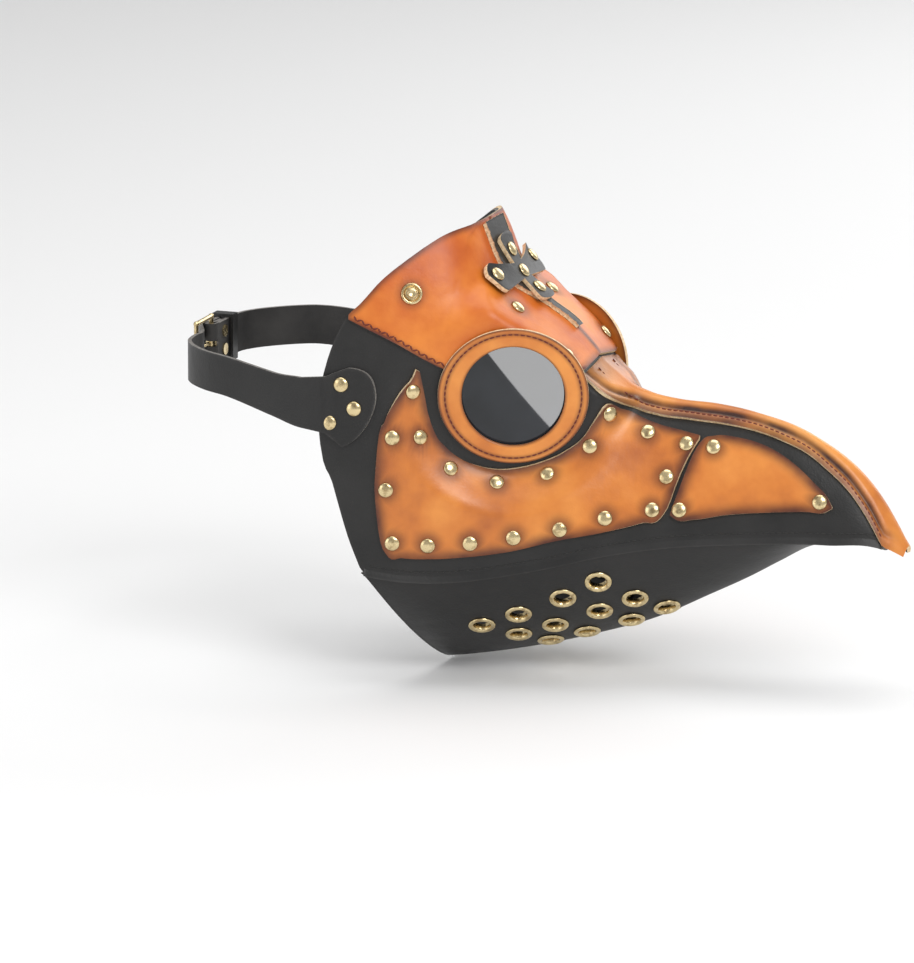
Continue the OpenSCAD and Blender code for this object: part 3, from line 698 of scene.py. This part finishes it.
def side_panels(side):
    x = np.concatenate([stations(-0.4, 22, 1.6), stations(24, 64, 2), stations(66, 291, 2.2)])
    outer = skin_grid(x, panel_top, panel_bottom, 70, LEATHER)
    inner = skin_grid(x, panel_top, panel_bottom, 70, 0)
    leather_sheet(f"{side_name(side)}_side_leather", outer, inner, BLACK_SHEET,
                  side, replaces=[f"{side_name(side)}_side_panel"],
                  burn_edge=3, cut=outside_eye(EYE_HOLE_R))


def forehead_panels(side):
    x = np.concatenate([stations(14.6, 64, 1.6), stations(65.5, 126.5, 1.5)])
    lower = lambda q: curve(FOREHEAD_SEAM, q)
    outer = skin_grid(x, panel_top, lower, 52, LAYER_2 + LEATHER)
    inner = skin_grid(x, panel_top, lower, 52, LAYER_2 - 0.3)
    rivets = places_on_skin(FOREHEAD_RIVETS + [STUD], LAYER_2 + LEATHER)
    leather_sheet(f"{side_name(side)}_forehead_leather", outer, inner, [FOREHEAD_TAN, CREAM, BLACK_INSIDE],
                  side, rivets, 5, replaces=[f"{side_name(side)}_forehead_panel"],
                  cut=outside_eye(EYE_HOLE_R))


def riveted_patch(side, kind, x, top, bottom, rows, spots):
    def grid(out):
        return skin_grid(x, lambda q: curve(top, q), lambda q: curve(bottom, q), rows, out)

    leather_sheet(f"{side_name(side)}_{kind}_leather", grid(LAYER_2 + LEATHER), grid(LAYER_2 - SINK),
                  [TAN, CREAM, BLACK_INSIDE], side, places_on_skin(spots, LAYER_2 + LEATHER), 9,
                  replaces=[f"{side_name(side)}_{kind}_patch"])


def closer_at_start(a, reach, count):
    """Stations that lie closer together where a patch's end is round."""
    return a + reach * (1 - np.cos(np.linspace(0, math.pi / 2, count)))


def cheek_patches(side):
    x = np.concatenate([closer_at_start(29.9, 12, 12), stations(43, 188.7, 1.5)])
    riveted_patch(side, "cheek", x, CHEEK_TOP, CHEEK_BOTTOM, 44, CHEEK_RIVETS)


def beak_patches(side):
    x = np.concatenate([closer_at_start(178.5, 3, 5), stations(182.5, 261.4, 1.5)])
    riveted_patch(side, "beak", x, BEAK_TOP, BEAK_BOTTOM, 28, BEAK_RIVETS)


# ---- Underside ----

KEEL_FULLNESS = 1.3


def seam_flange(side):
    """The two raw edges of the seam, sewn together and standing a little proud."""
    x = stations(24.5, 287, 2.2)
    s = around(x, curve(SEAM, x) + 2.6)
    high = skin(x, s, LEATHER - 0.2)
    low = skin(x, 0 * x + 1, LEATHER + 0.9) - [0, 0, 1.3]
    t = np.linspace(0, 1, 5)[None, :, None]
    outer = high[:, None] + (low - high)[:, None] * t + np.array([0, -0.55, 0]) * np.sin(t * math.pi / 2)
    inner = outer + np.array([0, 1.5, 0])
    leather_sheet(f"{side_name(side)}_seam_flange", outer, inner, BLACK_SHEET, side,
                  burn_edge=1.2, edge_soft=0.2)


def bare_under(x, a):
    seam = curve(SEAM, x) - 0.6
    depth = np.maximum(seam - curve(KEEL, x), 0.5)
    w = curve(HALF_WIDTH, x) + LEATHER
    power = 2 / KEEL_FULLNESS
    return np.stack([x, -np.sign(a) * w * np.abs(np.sin(a)) ** power,
                     seam - depth * np.abs(np.cos(a)) ** power], -1)


def under(x, a, deep):
    x, a = np.broadcast_arrays(np.asarray(x, float), np.asarray(a, float))
    step = math.radians(2)
    along = bare_under(x + 0.6, a) - bare_under(x - 0.6, a)
    turn = (bare_under(x, np.minimum(a + step, math.pi / 2))
            - bare_under(x, np.maximum(a - step, -math.pi / 2)))
    normal = unit(np.cross(along, turn))
    return bare_under(x, a) - np.asarray(deep)[..., None] * normal, normal


def eyelet_places():
    rows = [169.3, 149.7, 125, 104.6]
    columns = [(7.3, 0), (21, 13), (35.5, 28.5)]
    places = []
    for x in rows:
        for y, back in [(side * column, back) for column, back in columns for side in (-1, 1)]:
            here = x - back
            w = float(curve(HALF_WIDTH, here)) + LEATHER
            a = np.sign(-y) * math.asin((abs(y) / w) ** (KEEL_FULLNESS / 2))
            point, normal = under(here, a, 0.0)
            places.append((point, facing(normal)))
    return places


EYELET_HOLE_R = 5.2


def underside():
    angles = np.linspace(-math.pi / 2, math.pi / 2, 97)
    u = np.linspace(0, 1, 120)[:, None]
    start = 23 + 22 * np.cos(angles)[None, :]
    x = start + (288 - start) * u
    a = np.broadcast_to(angles[None, :], x.shape)
    outer, _ = under(x, a, np.zeros(x.shape))
    inner, _ = under(x, a, np.full(x.shape, LEATHER))
    holes = [place for place, _ in eyelet_places()]

    def keep(point):
        return min(np.linalg.norm(point - hole) for hole in holes) > EYELET_HOLE_R

    leather_sheet("underside_leather", outer, inner, BLACK_SHEET, 1,
                  replaces=["underside_panel"], burn_edge=3, cut=keep)


def eyelets():
    inner_r, outer_r = 4.5, 7.2
    deep = -LEATHER - 1.4
    roll = [(5.9 + 1.35 * math.cos(a), 0.15 + 0.95 * math.sin(a))
            for a in np.linspace(0, math.pi, 9)]
    profile = [(inner_r, deep), (inner_r, 0.1)] + roll[::-1] + [(outer_r, 0.0), (outer_r - 0.3, -0.1)]
    washer = [(inner_r + 0.1, deep), (outer_r, deep + 0.2), (outer_r, deep + 0.8), (inner_r, deep + 1.0)]
    brass_piece("brass_eyelets", profile, 40, eyelet_places(), "vent_eyelets")
    brass_piece("brass_washers", washer, 40, eyelet_places(), "vent_washers")


# ---- Ridge strip ----

def ridge_strip():
    close = 290 + (TIP_X - 290) * np.sin(np.linspace(0.1, math.pi / 2, 8))
    x = np.concatenate([stations(RIDGE_START, 290, 1.7), close])
    edge = np.where(x < 287.5, around(x, curve(RIDGE_EDGE, np.minimum(x, 287.5))), 1.0)
    t = np.linspace(-1, 1, 61)[None, :]
    s = edge[:, None] * t
    grid_x = np.broadcast_to(x[:, None], s.shape)
    # The folded edge rolls proud of the strip, with a pressed groove inside it
    level = np.zeros(len(x))
    reach = np.linalg.norm(skin(x, edge, level) - skin(x, level, level), axis=-1)
    across = np.abs(t) * reach[:, None]
    width = across.max(1, keepdims=True)
    from_edge = width - across
    fade = smooth((TIP_X - grid_x) / 14)
    groove = -0.9 * np.exp(-((from_edge - 3.2) / 0.9) ** 2) * fade
    crown = 0.7 * smooth((from_edge - 4.0) / 3.0) * fade
    # Its rear end lies lower, so that the forehead's cut edge shows
    tuck = -1.4 * (1 - smooth((grid_x - RIDGE_START) / 9))
    outer = skin(grid_x, s, LAYER_2 + LEATHER + groove + crown + tuck)
    inner = skin(grid_x, s, np.full(s.shape, LAYER_2 - SINK))
    verts, faces, kinds = closed_sheet(outer, inner)
    # Darker bands: painted shade along the pressed groove beside the lit crown, with burnish at the folded
    # edges and at the rear end
    groove_shade_and_edge_burnish = np.maximum(np.exp(-((from_edge - 3.6) / 2.2) ** 2) * fade,
                           0.9 * (1 - smooth(from_edge / 5.0)) * fade)
    groove_shade_and_edge_burnish = np.maximum(groove_shade_and_edge_burnish, 0.8 * (1 - smooth((grid_x - RIDGE_START) / 16)))
    burn = np.concatenate([groove_shade_and_edge_burnish.ravel(), groove_shade_and_edge_burnish.ravel()])
    piece = make_object("ridge_leather", verts, faces, [RIDGE_TAN, CREAM, BLACK_INSIDE], kinds,
                        {"burn": burn, "spot": np.zeros(len(burn))}, replaces=["ridge_strip"])
    soften(piece, 0.5)


# ---- Eye ring, lens ----

def eye_frame():
    """Origin and rotation of the ring's own plane: its third column is the outward normal."""
    def about_x(a):
        return np.array([[1, 0, 0], [0, math.cos(a), -math.sin(a)], [0, math.sin(a), math.cos(a)]])

    turn_z = np.array([[math.cos(EYE_TURN), -math.sin(EYE_TURN), 0],
                       [math.sin(EYE_TURN), math.cos(EYE_TURN), 0], [0, 0, 1]])
    base = turn_z @ about_x(math.pi / 2 - EYE_TIP)
    lean_x = about_x(RING_LEAN)

    def place(points, out=LAYER_2):
        local = np.asarray(points, float) + [0, RING_RZ, 0]
        local = local @ lean_x.T + [0, -RING_RZ, out]
        return local @ base.T + EYE
    return place, base @ lean_x


def ring_oval(angles, t, height):
    """Points round the eye ring, t across it: 0 at the sight opening, 1 at the outer edge."""
    rx = SIGHT_R + (RING_RX - SIGHT_R) * t
    ry = SIGHT_R + (RING_RZ - SIGHT_R) * t
    return np.stack([rx * np.cos(angles), ry * np.sin(angles), np.full(len(angles), height)], -1)


def eye_ring(side):
    place, _ = eye_frame()
    angles = np.linspace(0, 2 * math.pi, 145)[:-1]
    # Across the ring: a rolled inner lip, a slight hollow at the seam line, a thin outer edge
    profile = [(0.0, 0.0), (0.0, 1.5), (0.05, 1.9), (0.14, 2.15), (0.3, 2.1), (0.5, 2.0), (0.64, 1.85),
               (0.7, 1.6), (0.76, 1.85), (0.86, 2.0), (0.95, 1.9), (1.0, 1.6), (1.0, -0.3), (0.5, -0.3)]
    grid = np.array([ring_oval(angles, t, h) for t, h in profile])
    count = len(angles)
    verts = place(grid.reshape(-1, 3))
    faces, kinds = [], []
    levels = len(grid)
    outer_wall = profile.index((1.0, 1.6))
    for i in range(levels):
        for j in range(count):
            k = (j + 1) % count
            n = (i + 1) % levels
            faces.append((i * count + j, n * count + j, n * count + k, i * count + k))
            kinds.append(1 if i == outer_wall else 0)
    t = np.repeat([p[0] for p in profile], count)
    burn = np.maximum(np.exp(-((t - RING_SEAM) / 0.1) ** 2) * 0.85,
                      np.maximum(1 - smooth((1 - t) / 0.22), 0.8 * (1 - smooth(t / 0.16))))
    if side < 0:
        verts, faces = mirrored(verts, faces)
    piece = make_object(f"{side_name(side)}_ring_leather", verts, [tuple(reversed(f)) for f in faces],
                        [TAN, CREAM], kinds, {"burn": burn, "spot": 0 * burn},
                        replaces=[f"{side_name(side)}_eye_ring"])
    soften(piece, 0.25)


def eye_lens(side):
    place, _ = eye_frame()
    bow = 1.5
    profile = [(0.01, bow)] + [(LENS_R * math.sin(a), bow * (1 - math.sin(a) ** 2))
                               for a in np.linspace(0.08, math.pi / 2, 16)]
    profile += [(LENS_R, -1.4), (0.01, -1.4)]
    verts, faces = revolve(profile, 72)
    verts = place(verts - [0, 0, 1.0])
    if side < 0:
        verts, faces = mirrored(verts, faces)
    return make_object(f"{side_name(side)}_lens_glass", verts, faces, [LENS],
                       replaces=[f"{side_name(side)}_lens"])


# ---- Forehead ornament ----

def around_at(x, y):
    """Inverse of the half width near the crest, by bisection."""
    x = np.asarray(x, float)
    y = np.broadcast_to(np.asarray(y, float), x.shape)
    low, high = np.zeros(x.shape), np.full(x.shape, 0.8)
    for _ in range(22):
        middle = (low + high) / 2
        below = -bare_point(x, middle)[..., 1] < np.abs(y)
        low = np.where(below, middle, low)
        high = np.where(below, high, middle)
    return -np.sign(y) * (low + high) / 2


def crest_points(x, y, out):
    return skin(x, around_at(x, y), np.broadcast_to(float(out), np.shape(x)))


CROSS_X = 79.5
SIDE_ARM = 33
LONG_ARM = 21
ARM_SWEEP = 4
ARM_SIDES_END = 0.86
ORNAMENT_LEAN = math.radians(48)


def on_brow(u, v, out):
    """Skin points under an outline drawn on the forehead's slope: u to the wearer's left, v up it."""
    up = np.array([-math.cos(ORNAMENT_LEAN), 0, math.sin(ORNAMENT_LEAN)])
    base = np.array([CROSS_X, 0, float(curve(CREST, CROSS_X))])
    x = CROSS_X - 0.7 * v
    y = np.array(u, float)
    for _ in range(14):
        missed = crest_points(x, y, out) - base
        x = np.clip(x - 0.7 * (v - missed @ up), 50, 122)
        y = y + 0.8 * (u - missed[..., 1])
    return crest_points(x, y, out)


def disc_sheet(name, outline, out, replaces, rings=12):
    """Leather cut to an outline that can be seen whole from its own centre."""
    outline = np.asarray(outline, float)
    reach = np.linspace(0.06, 1, rings)[:, None, None] * outline[None]
    outer = on_brow(reach[..., 0], reach[..., 1], out + LEATHER)
    inner = on_brow(reach[..., 0], reach[..., 1], out - SINK)
    count = len(outline)
    verts = np.concatenate([outer.reshape(-1, 3), inner.reshape(-1, 3)])
    half = rings * count
    faces, kinds = [], []
    for i in range(rings - 1):
        for j in range(count):
            k = (j + 1) % count
            quad = (i * count + j, (i + 1) * count + j, (i + 1) * count + k, i * count + k)
            faces += [quad, tuple(half + q for q in reversed(quad))]
            kinds += [0, 2]
    faces += [tuple(range(count)), tuple(half + q for q in reversed(range(count)))]
    kinds += [0, 2]
    last = (rings - 1) * count
    for j in range(count):
        k = (j + 1) % count
        faces.append((last + j, half + last + j, half + last + k, last + k))
        kinds.append(1)
    edge = 1 - smooth((1 - np.repeat(np.linspace(0.06, 1, rings), count)) / 0.2)
    piece = make_object(name, verts, faces, [BLACK, CREAM, BLACK_INSIDE], kinds,
                        {"burn": np.concatenate([edge, edge]), "spot": np.zeros(2 * half)},
                        replaces=replaces)
    soften(piece, 0.3)


def center_strip():
    v = np.linspace(30, -42, 55)[:, None]
    u = (13 - 10 * smooth((2 - v) / 26)) * np.linspace(-1, 1, 21)[None, :]
    along = np.broadcast_to(v, u.shape)
    outer = on_brow(u, along, LAYER_3 + LEATHER)
    inner = on_brow(u, along, LAYER_3 - SINK)
    leather_sheet("center_strip_leather", outer, inner, [BLACK, CREAM, BLACK_INSIDE],
                  replaces=["forehead_center_strip"], burn_edge=2)


def cross_outline():
    """Four arms that flare to rounded ends, anticlockwise from the wearer's left."""
    waist, flare = 4.6, 10.0
    points = []
    for turn, length in zip(range(4), (SIDE_ARM, LONG_ARM, SIDE_ARM, LONG_ARM)):
        t = np.linspace(waist / length, ARM_SIDES_END, 9)
        side = waist + (flare - waist) * t**1.6
        end = np.linspace(0.2, math.pi - 0.2, 9)
        tip = length * (ARM_SIDES_END + (1 - ARM_SIDES_END) * np.sin(end))
        along = np.concatenate([t * length, tip, t[::-1] * length])
        across = np.concatenate([-side, -side[-1] * np.cos(end), side[::-1]])
        a = turn * math.pi / 2
        points += list(zip(along * math.cos(a) - across * math.sin(a),
                           along * math.sin(a) + across * math.cos(a)))
    # The side arms bend up the slope towards their ends
    return [(u, v + ARM_SWEEP * (u / SIDE_ARM) ** 2) for u, v in points]


def cross_rivet_spots():
    return [(CROSS_X, 0.0), (CROSS_X - 4, -25.5), (CROSS_X - 4, 25.5), (CROSS_X - 7.5, 0.0),
            (CROSS_X + 10.5, 0.0)]


def forehead_cross():
    disc_sheet("cross_leather", cross_outline(), LAYER_4, ["forehead_cross"])


# ---- Rivets and snap studs ----

RIVET_R = 4.0
RIVET_H = 1.9


def rivet_profile(depth):
    dome = [(RIVET_R * math.cos(a), 0.35 + (RIVET_H - 0.35) * math.sin(a))
            for a in np.linspace(0, math.pi / 2 - 0.04, 10)]
    cap = [(0.01, -depth - 0.8), (3.0, -depth - 0.8), (3.2, -depth - 0.5), (3.2, -depth)]
    shank = [(1.2, -depth), (1.2, 0.0), (RIVET_R - 0.15, -0.1)]
    return cap + shank + dome + [(0.01, RIVET_H)]


def rivets(name, spots, out, side, replaces):
    """Domed rivets through every layer under out."""
    found = [at_place(x, z, out) for x, z in spots]
    places = [(point, facing(normal)) for point, normal in found]
    brass_piece(name, rivet_profile(out), 28, places, replaces, side)


def all_rivets(side):
    name = side_name(side)
    top = LAYER_2 + LEATHER
    for kind, spots, out, node_kind in (("cheek", CHEEK_RIVETS, top, "cheek"),
                                        ("beak", BEAK_RIVETS, top, "beak"),
                                        ("forehead", FOREHEAD_RIVETS, top, "forehead"),
                                        ("tab", TAB_RIVETS, LAYER_2 + STRAP_T, "strap")):
        rivets(f"{name}_{kind}_domes", spots, out, side, f"{name}_{node_kind}_rivets")


def cross_domes():
    places = []
    top = LAYER_4 + LEATHER
    for x, y in cross_rivet_spots():
        s = around_at(np.array(x), np.array(y))
        point = skin(x, s, np.array(top))
        places.append((point, facing(skin_normal(np.array(x, float), s))))
    brass_piece("cross_domes", rivet_profile(top), 28, places, "cross_rivets")


def snap_stud(side):
    name = side_name(side)
    point, normal = at_place(*STUD, LAYER_2 + LEATHER + STUD_LIFT)
    profile = [(5.6, -0.35), (5.8, 0.3), (5.5, 0.9), (4.9, 1.15), (4.2, 0.9), (3.6, 0.55), (2.5, 0.6),
               (2.2, 0.9), (2.2, 1.8), (2.45, 2.1), (2.7, 2.4), (2.7, 3.6), (2.45, 4.1), (1.9, 4.35),
               (1.5, 4.2), (0.01, 4.0)]
    brass_piece(f"{name}_stud_metal", profile, 40, [(point, facing(normal))], f"{name}_snap_stud", side)


# ---- Stitching ----

def stitch_shape(length, thick):
    rings = [(-0.5, 0.15), (-0.4, 0.7), (-0.15, 1.0), (0.15, 1.0), (0.4, 0.7), (0.5, 0.15)]
    verts, faces = [], []
    sides = 6
    for at, r in rings:
        for k in range(sides):
            a = 2 * math.pi * k / sides
            verts.append((at * length, r * thick * math.cos(a), r * thick * 0.8 * math.sin(a)))
    for i in range(len(rings) - 1):
        for k in range(sides):
            n = (k + 1) % sides
            faces.append((i * sides + k, i * sides + n, (i + 1) * sides + n, (i + 1) * sides + k))
    faces.append(tuple(reversed(range(sides))))
    faces.append(tuple((len(rings) - 1) * sides + k for k in range(sides)))
    return np.array(verts), faces


def stitch_row(name, path, normals, material, pitch=3.2, length=2.5, thick=0.42, side=1, zigzag=0.0,
               closed=False, body="mask"):
    """Separate stitches along a path of points with their surface normals."""
    path = np.asarray(path, float)
    normals = np.asarray(normals, float)
    if closed:
        path = np.vstack([path, path[:1]])
        normals = np.vstack([normals, normals[:1]])
    along = np.concatenate([[0], np.cumsum(np.linalg.norm(np.diff(path, axis=0), axis=1))])
    count = max(2, int(along[-1] / pitch))
    shape, shape_faces = stitch_shape(length, thick)
    places = []
    for k in range(count):
        at = (k + 0.5) * along[-1] / count
        point = np.array([np.interp(at, along, path[:, c]) for c in range(3)])
        ahead = np.array([np.interp(min(at + 0.5, along[-1]), along, path[:, c]) for c in range(3)])
        behind = np.array([np.interp(max(at - 0.5, 0), along, path[:, c]) for c in range(3)])
        normal = unit(np.array([np.interp(at, along, normals[:, c]) for c in range(3)]))
        forward = unit(ahead - behind)
        across = unit(np.cross(normal, forward))
        if zigzag:
            lean = zigzag if k % 2 else -zigzag
            forward = unit(forward + lean * across)
            across = unit(np.cross(normal, forward))
        places.append((point, np.stack([forward, across, normal], 1)))
    verts, faces = placed_copies(shape, shape_faces, places)
    if side < 0:
        verts, faces = mirrored(verts, faces)
    return make_object(name, verts, faces, [material], body=body)


def skin_path(x, z, out):
    s = around(x, z)
    return skin(x, s, np.full(np.shape(x), float(out))), skin_normal(x, s)


def stitching(side):
    name = side_name(side)
    x = stations(17, 68, 2)
    path, normals = skin_path(x, curve(FOREHEAD_SEAM, x) + 2.2, LAYER_2 + LEATHER + 0.1)
    stitch_row(f"{name}_forehead_stitches", path, normals, DARK_THREAD, 2.3, 2.7, 0.45, side, 0.75)
    x = stations(129, 286, 1.5)
    edge_z = curve(RIDGE_EDGE, x)
    path, normals = skin_path(x, edge_z + 2.4, LAYER_2 + LEATHER - 0.1)
    stitch_row(f"{name}_ridge_stitches", path, normals, DARK_THREAD, 3.1, 2.4, 0.42, side)
    x = stations(27, 287, 2)
    path, normals = skin_path(x, curve(SEAM, x) + 4.2, LEATHER + 0.05)
    stitch_row(f"{name}_seam_stitches", path, normals, BLACK_THREAD, 3.3, 2.6, 0.4, side)
    place, turn = eye_frame()
    angles = np.linspace(0, 2 * math.pi, 145)[:-1]
    ring = ring_oval(angles, RING_SEAM, 1.75)
    stitch_row(f"{name}_ring_stitches", place(ring), np.repeat(turn[:, 2][None], len(angles), 0),
               DARK_THREAD, 3.2, 2.5, 0.42, side, closed=True)


# ---- Strap ----

TAB_CENTRE = np.array([13.0, -5.0])
SPLIT_Y = -79.6
STRAP_T = 2.0
STRAP_W = 21.0
REACH = 88.0
REAR_Z = 4.0
HEEL_Y = 4.0
HOLE_YS = (-20, 14, 22)
HOLE_R = 2.0
SLOT_HALF = 2.2
TAB_NOSE = [(-88, 22.5), (-59, 18.5), (-20, 16.5), (20, 18.5), (50, 21), (81, 19.7)]
PLAN = [(-8, SPLIT_Y), (-22, -77.8), (-44, -72.5), (-64, -63), (-78, -51), (-85.5, -40),
        (-REACH + 0.3, -31), (-REACH, -24)]
RIGHT_END = [(-REACH, -15.5), (-REACH - 7.8, 2), (-REACH - 7.8, 6), (-REACH - 5.6, 11),
             (-REACH - 5.6, 28), (-REACH - 5.6, 36)]
LEFT_END = [(-REACH, -15.0), (-REACH, -HEEL_Y - 1)]


def tab_y(x, z):
    on = smooth((x - 3) / 7)
    held = np.maximum(x, 3)
    return SPLIT_Y * (1 - on) + skin(held, around(held, z), np.full(np.shape(x), LAYER_2))[..., 1] * on


def smooth_path(points, spacing=1.5):
    """Dense, evenly spaced points on a smooth curve through control points (Catmull-Rom)."""
    p = np.array(points, float)
    p = np.vstack([2 * p[0] - p[1], p, 2 * p[-1] - p[-2]])
    dense = []
    for i in range(1, len(p) - 2):
        for t in np.linspace(0, 1, 12, endpoint=False):
            dense.append(0.5 * (2 * p[i] + (p[i + 1] - p[i - 1]) * t
                                + (2 * p[i - 1] - 5 * p[i] + 4 * p[i + 1] - p[i + 2]) * t**2
                                + (3 * p[i] - p[i - 1] - 3 * p[i + 1] + p[i + 2]) * t**3))
    dense.append(p[-2])
    dense = np.array(dense)
    along = np.concatenate([[0], np.cumsum(np.linalg.norm(np.diff(dense, axis=0), axis=1))])
    at = np.linspace(0, along[-1], int(along[-1] / spacing) + 1)
    return np.stack([np.interp(at, along, dense[:, c]) for c in range(2)], 1)


def upright(plan, z):
    """Points above a plan path, a row of heights at each of its points."""
    return np.stack([np.broadcast_to(plan[:, :1], z.shape), np.broadcast_to(plan[:, 1:], z.shape), z], -1)


def strap(side):
    """Tab and band as one strap: it bends where the CAD tab ends."""
    name = side_name(side)
    rows = 25
    t = np.linspace(-1, 1, rows)
    # In front of the rear edge the strap widens into the tab, whose nose is a rounded outline
    angle = -88 + 169 * (t + 1) / 2
    nose = curve(TAB_NOSE, angle)
    ray = np.radians(angle)
    front = TAB_CENTRE + nose[:, None] * np.stack([np.cos(ray), np.sin(ray)], 1)
    neck = TAB_CENTRE + 17 * np.stack([-np.cos(np.radians(62 * t)), np.sin(np.radians(62 * t))], 1)
    tab_steps = np.linspace(1, 0, 22)[:, None, None]
    tab_xz = neck[None] + (front - neck)[None] * tab_steps
    tab_inner = np.stack([tab_xz[..., 0], tab_y(tab_xz[..., 0], tab_xz[..., 1]), tab_xz[..., 1]], -1)
    tab_outer = tab_inner + np.array([0, -STRAP_T, 0])
    plan = smooth_path(PLAN + (RIGHT_END if side > 0 else LEFT_END))
    step = np.gradient(plan, axis=0)
    normal = unit(np.stack([step[:, 1], -step[:, 0]], 1))
    back = smooth(-plan[:, 0] / 60)
    centre = TAB_CENTRE[1] + (REAR_Z - TAB_CENTRE[1]) * back
    half = 12.3 + (STRAP_W / 2 - 12.3) * back
    # The neck narrows smoothly from the tab into the band
    join = smooth((-8 - plan[:, 0]) / 16)
    half = half + (1 - join) * 1.2
    tip_round = np.ones(len(plan))
    if side > 0:
        from_tip = np.linspace(len(plan) - 1, 0, len(plan)) * 1.5
        tip_round = np.sqrt(np.clip(1 - (1 - np.clip(from_tip / 8, 0, 1)) ** 2, 0.08, 1))
    z = centre[:, None] + (half * tip_round)[:, None] * t[None]
    band_inner = upright(plan, z)
    offset = np.stack([normal[:, 0], normal[:, 1], 0 * normal[:, 0]], 1)[:, None, :]
    sign = 1.0 if np.dot(normal[0], [0, -1]) > 0 else -1.0
    band_outer = band_inner + sign * STRAP_T * offset
    inner = np.concatenate([tab_inner, band_inner])
    outer = np.concatenate([tab_outer, band_outer])
    tabs = places_on_skin(TAB_RIVETS, LAYER_2 + STRAP_T)
    piece = leather_sheet(f"{name}_strap_leather", outer, inner, BLACK_SHEET, side,
                          tabs, 3, body=None,
                          replaces=[f"{name}_strap_tab", f"{name}_strap_band"],
                          cut=strap_holes if side > 0 else None)
    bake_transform(piece)


def strap_holes(point):
    """False where the band is open: its prong holes and the slot that the prong passes."""
    if point[0] > -REACH + 3 or abs(point[2] - REAR_Z) > SLOT_HALF:
        return True
    if -12 < point[1] < 7:
        return False
    return min(math.hypot(point[1] - y, point[2] - REAR_Z) for y in HOLE_YS) > HOLE_R


def fold():
    """The left strap's end turned round the heel bar and back under itself."""
    heel_x = -REACH - STRAP_T - 1.7
    turn = [(heel_x + 2.7 * math.cos(a), HEEL_Y + 2.7 * math.sin(a))
            for a in np.linspace(0, -math.pi, 12)]
    plan = np.array([(-REACH - 1, HEEL_Y + 2)] + turn
                    + [(-REACH - 4.4, HEEL_Y + 5), (-REACH - 3.2, HEEL_Y + 8),
                       (-REACH - 3.2, HEEL_Y + 13)])
    plan = smooth_path(plan, 0.8)
    step = np.gradient(plan, axis=0)
    normal = unit(np.stack([step[:, 1], -step[:, 0]], 1))
    t = np.linspace(-1, 1, 15)
    z = REAR_Z + STRAP_W / 2 * t[None] * np.ones((len(plan), 1))

    def layer(out):
        return upright(plan + out * normal, z)

    leather_sheet("fold_leather", layer(0.9), layer(-0.9), BLACK_SHEET,
                  burn_edge=2, body="strap_loop",
                  cut=lambda p: abs(p[2] - REAR_Z) > SLOT_HALF or p[1] > HEEL_Y + 4)


def keep_cad(name, material):
    """A CAD node whose own shape is shown, with this material."""
    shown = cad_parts[name]
    mesh = shown.data
    if "rest" not in mesh.attributes:
        rest = mesh.attributes.new("rest", "FLOAT_VECTOR", "POINT")
        places = np.empty(len(mesh.vertices) * 3, np.float32)
        mesh.vertices.foreach_get("co", places)
        rest.data.foreach_set("vector", places)
    for slot_ in shown.material_slots:
        slot_.material = material
    if not shown.material_slots:
        mesh.materials.append(material)


for side in (1, -1):
    side_panels(side)
    forehead_panels(side)
    cheek_patches(side)
    beak_patches(side)
    eye_ring(side)
    glass = eye_lens(side)
    if side > 0:
        lens_card(glass)
    all_rivets(side)
    snap_stud(side)
    seam_flange(side)
    stitching(side)
    strap(side)
underside()
eyelets()
ridge_strip()
center_strip()
forehead_cross()
cross_domes()
fold()
for name in ("buckle_frame", "buckle_prong", "fold_rivets", "right_snap_back", "left_snap_back"):
    keep_cad(name, BRASS)
for name in ("strap_keeper", "right_lens_backing_ring", "left_lens_backing_ring"):
    keep_cad(name, BLACK)
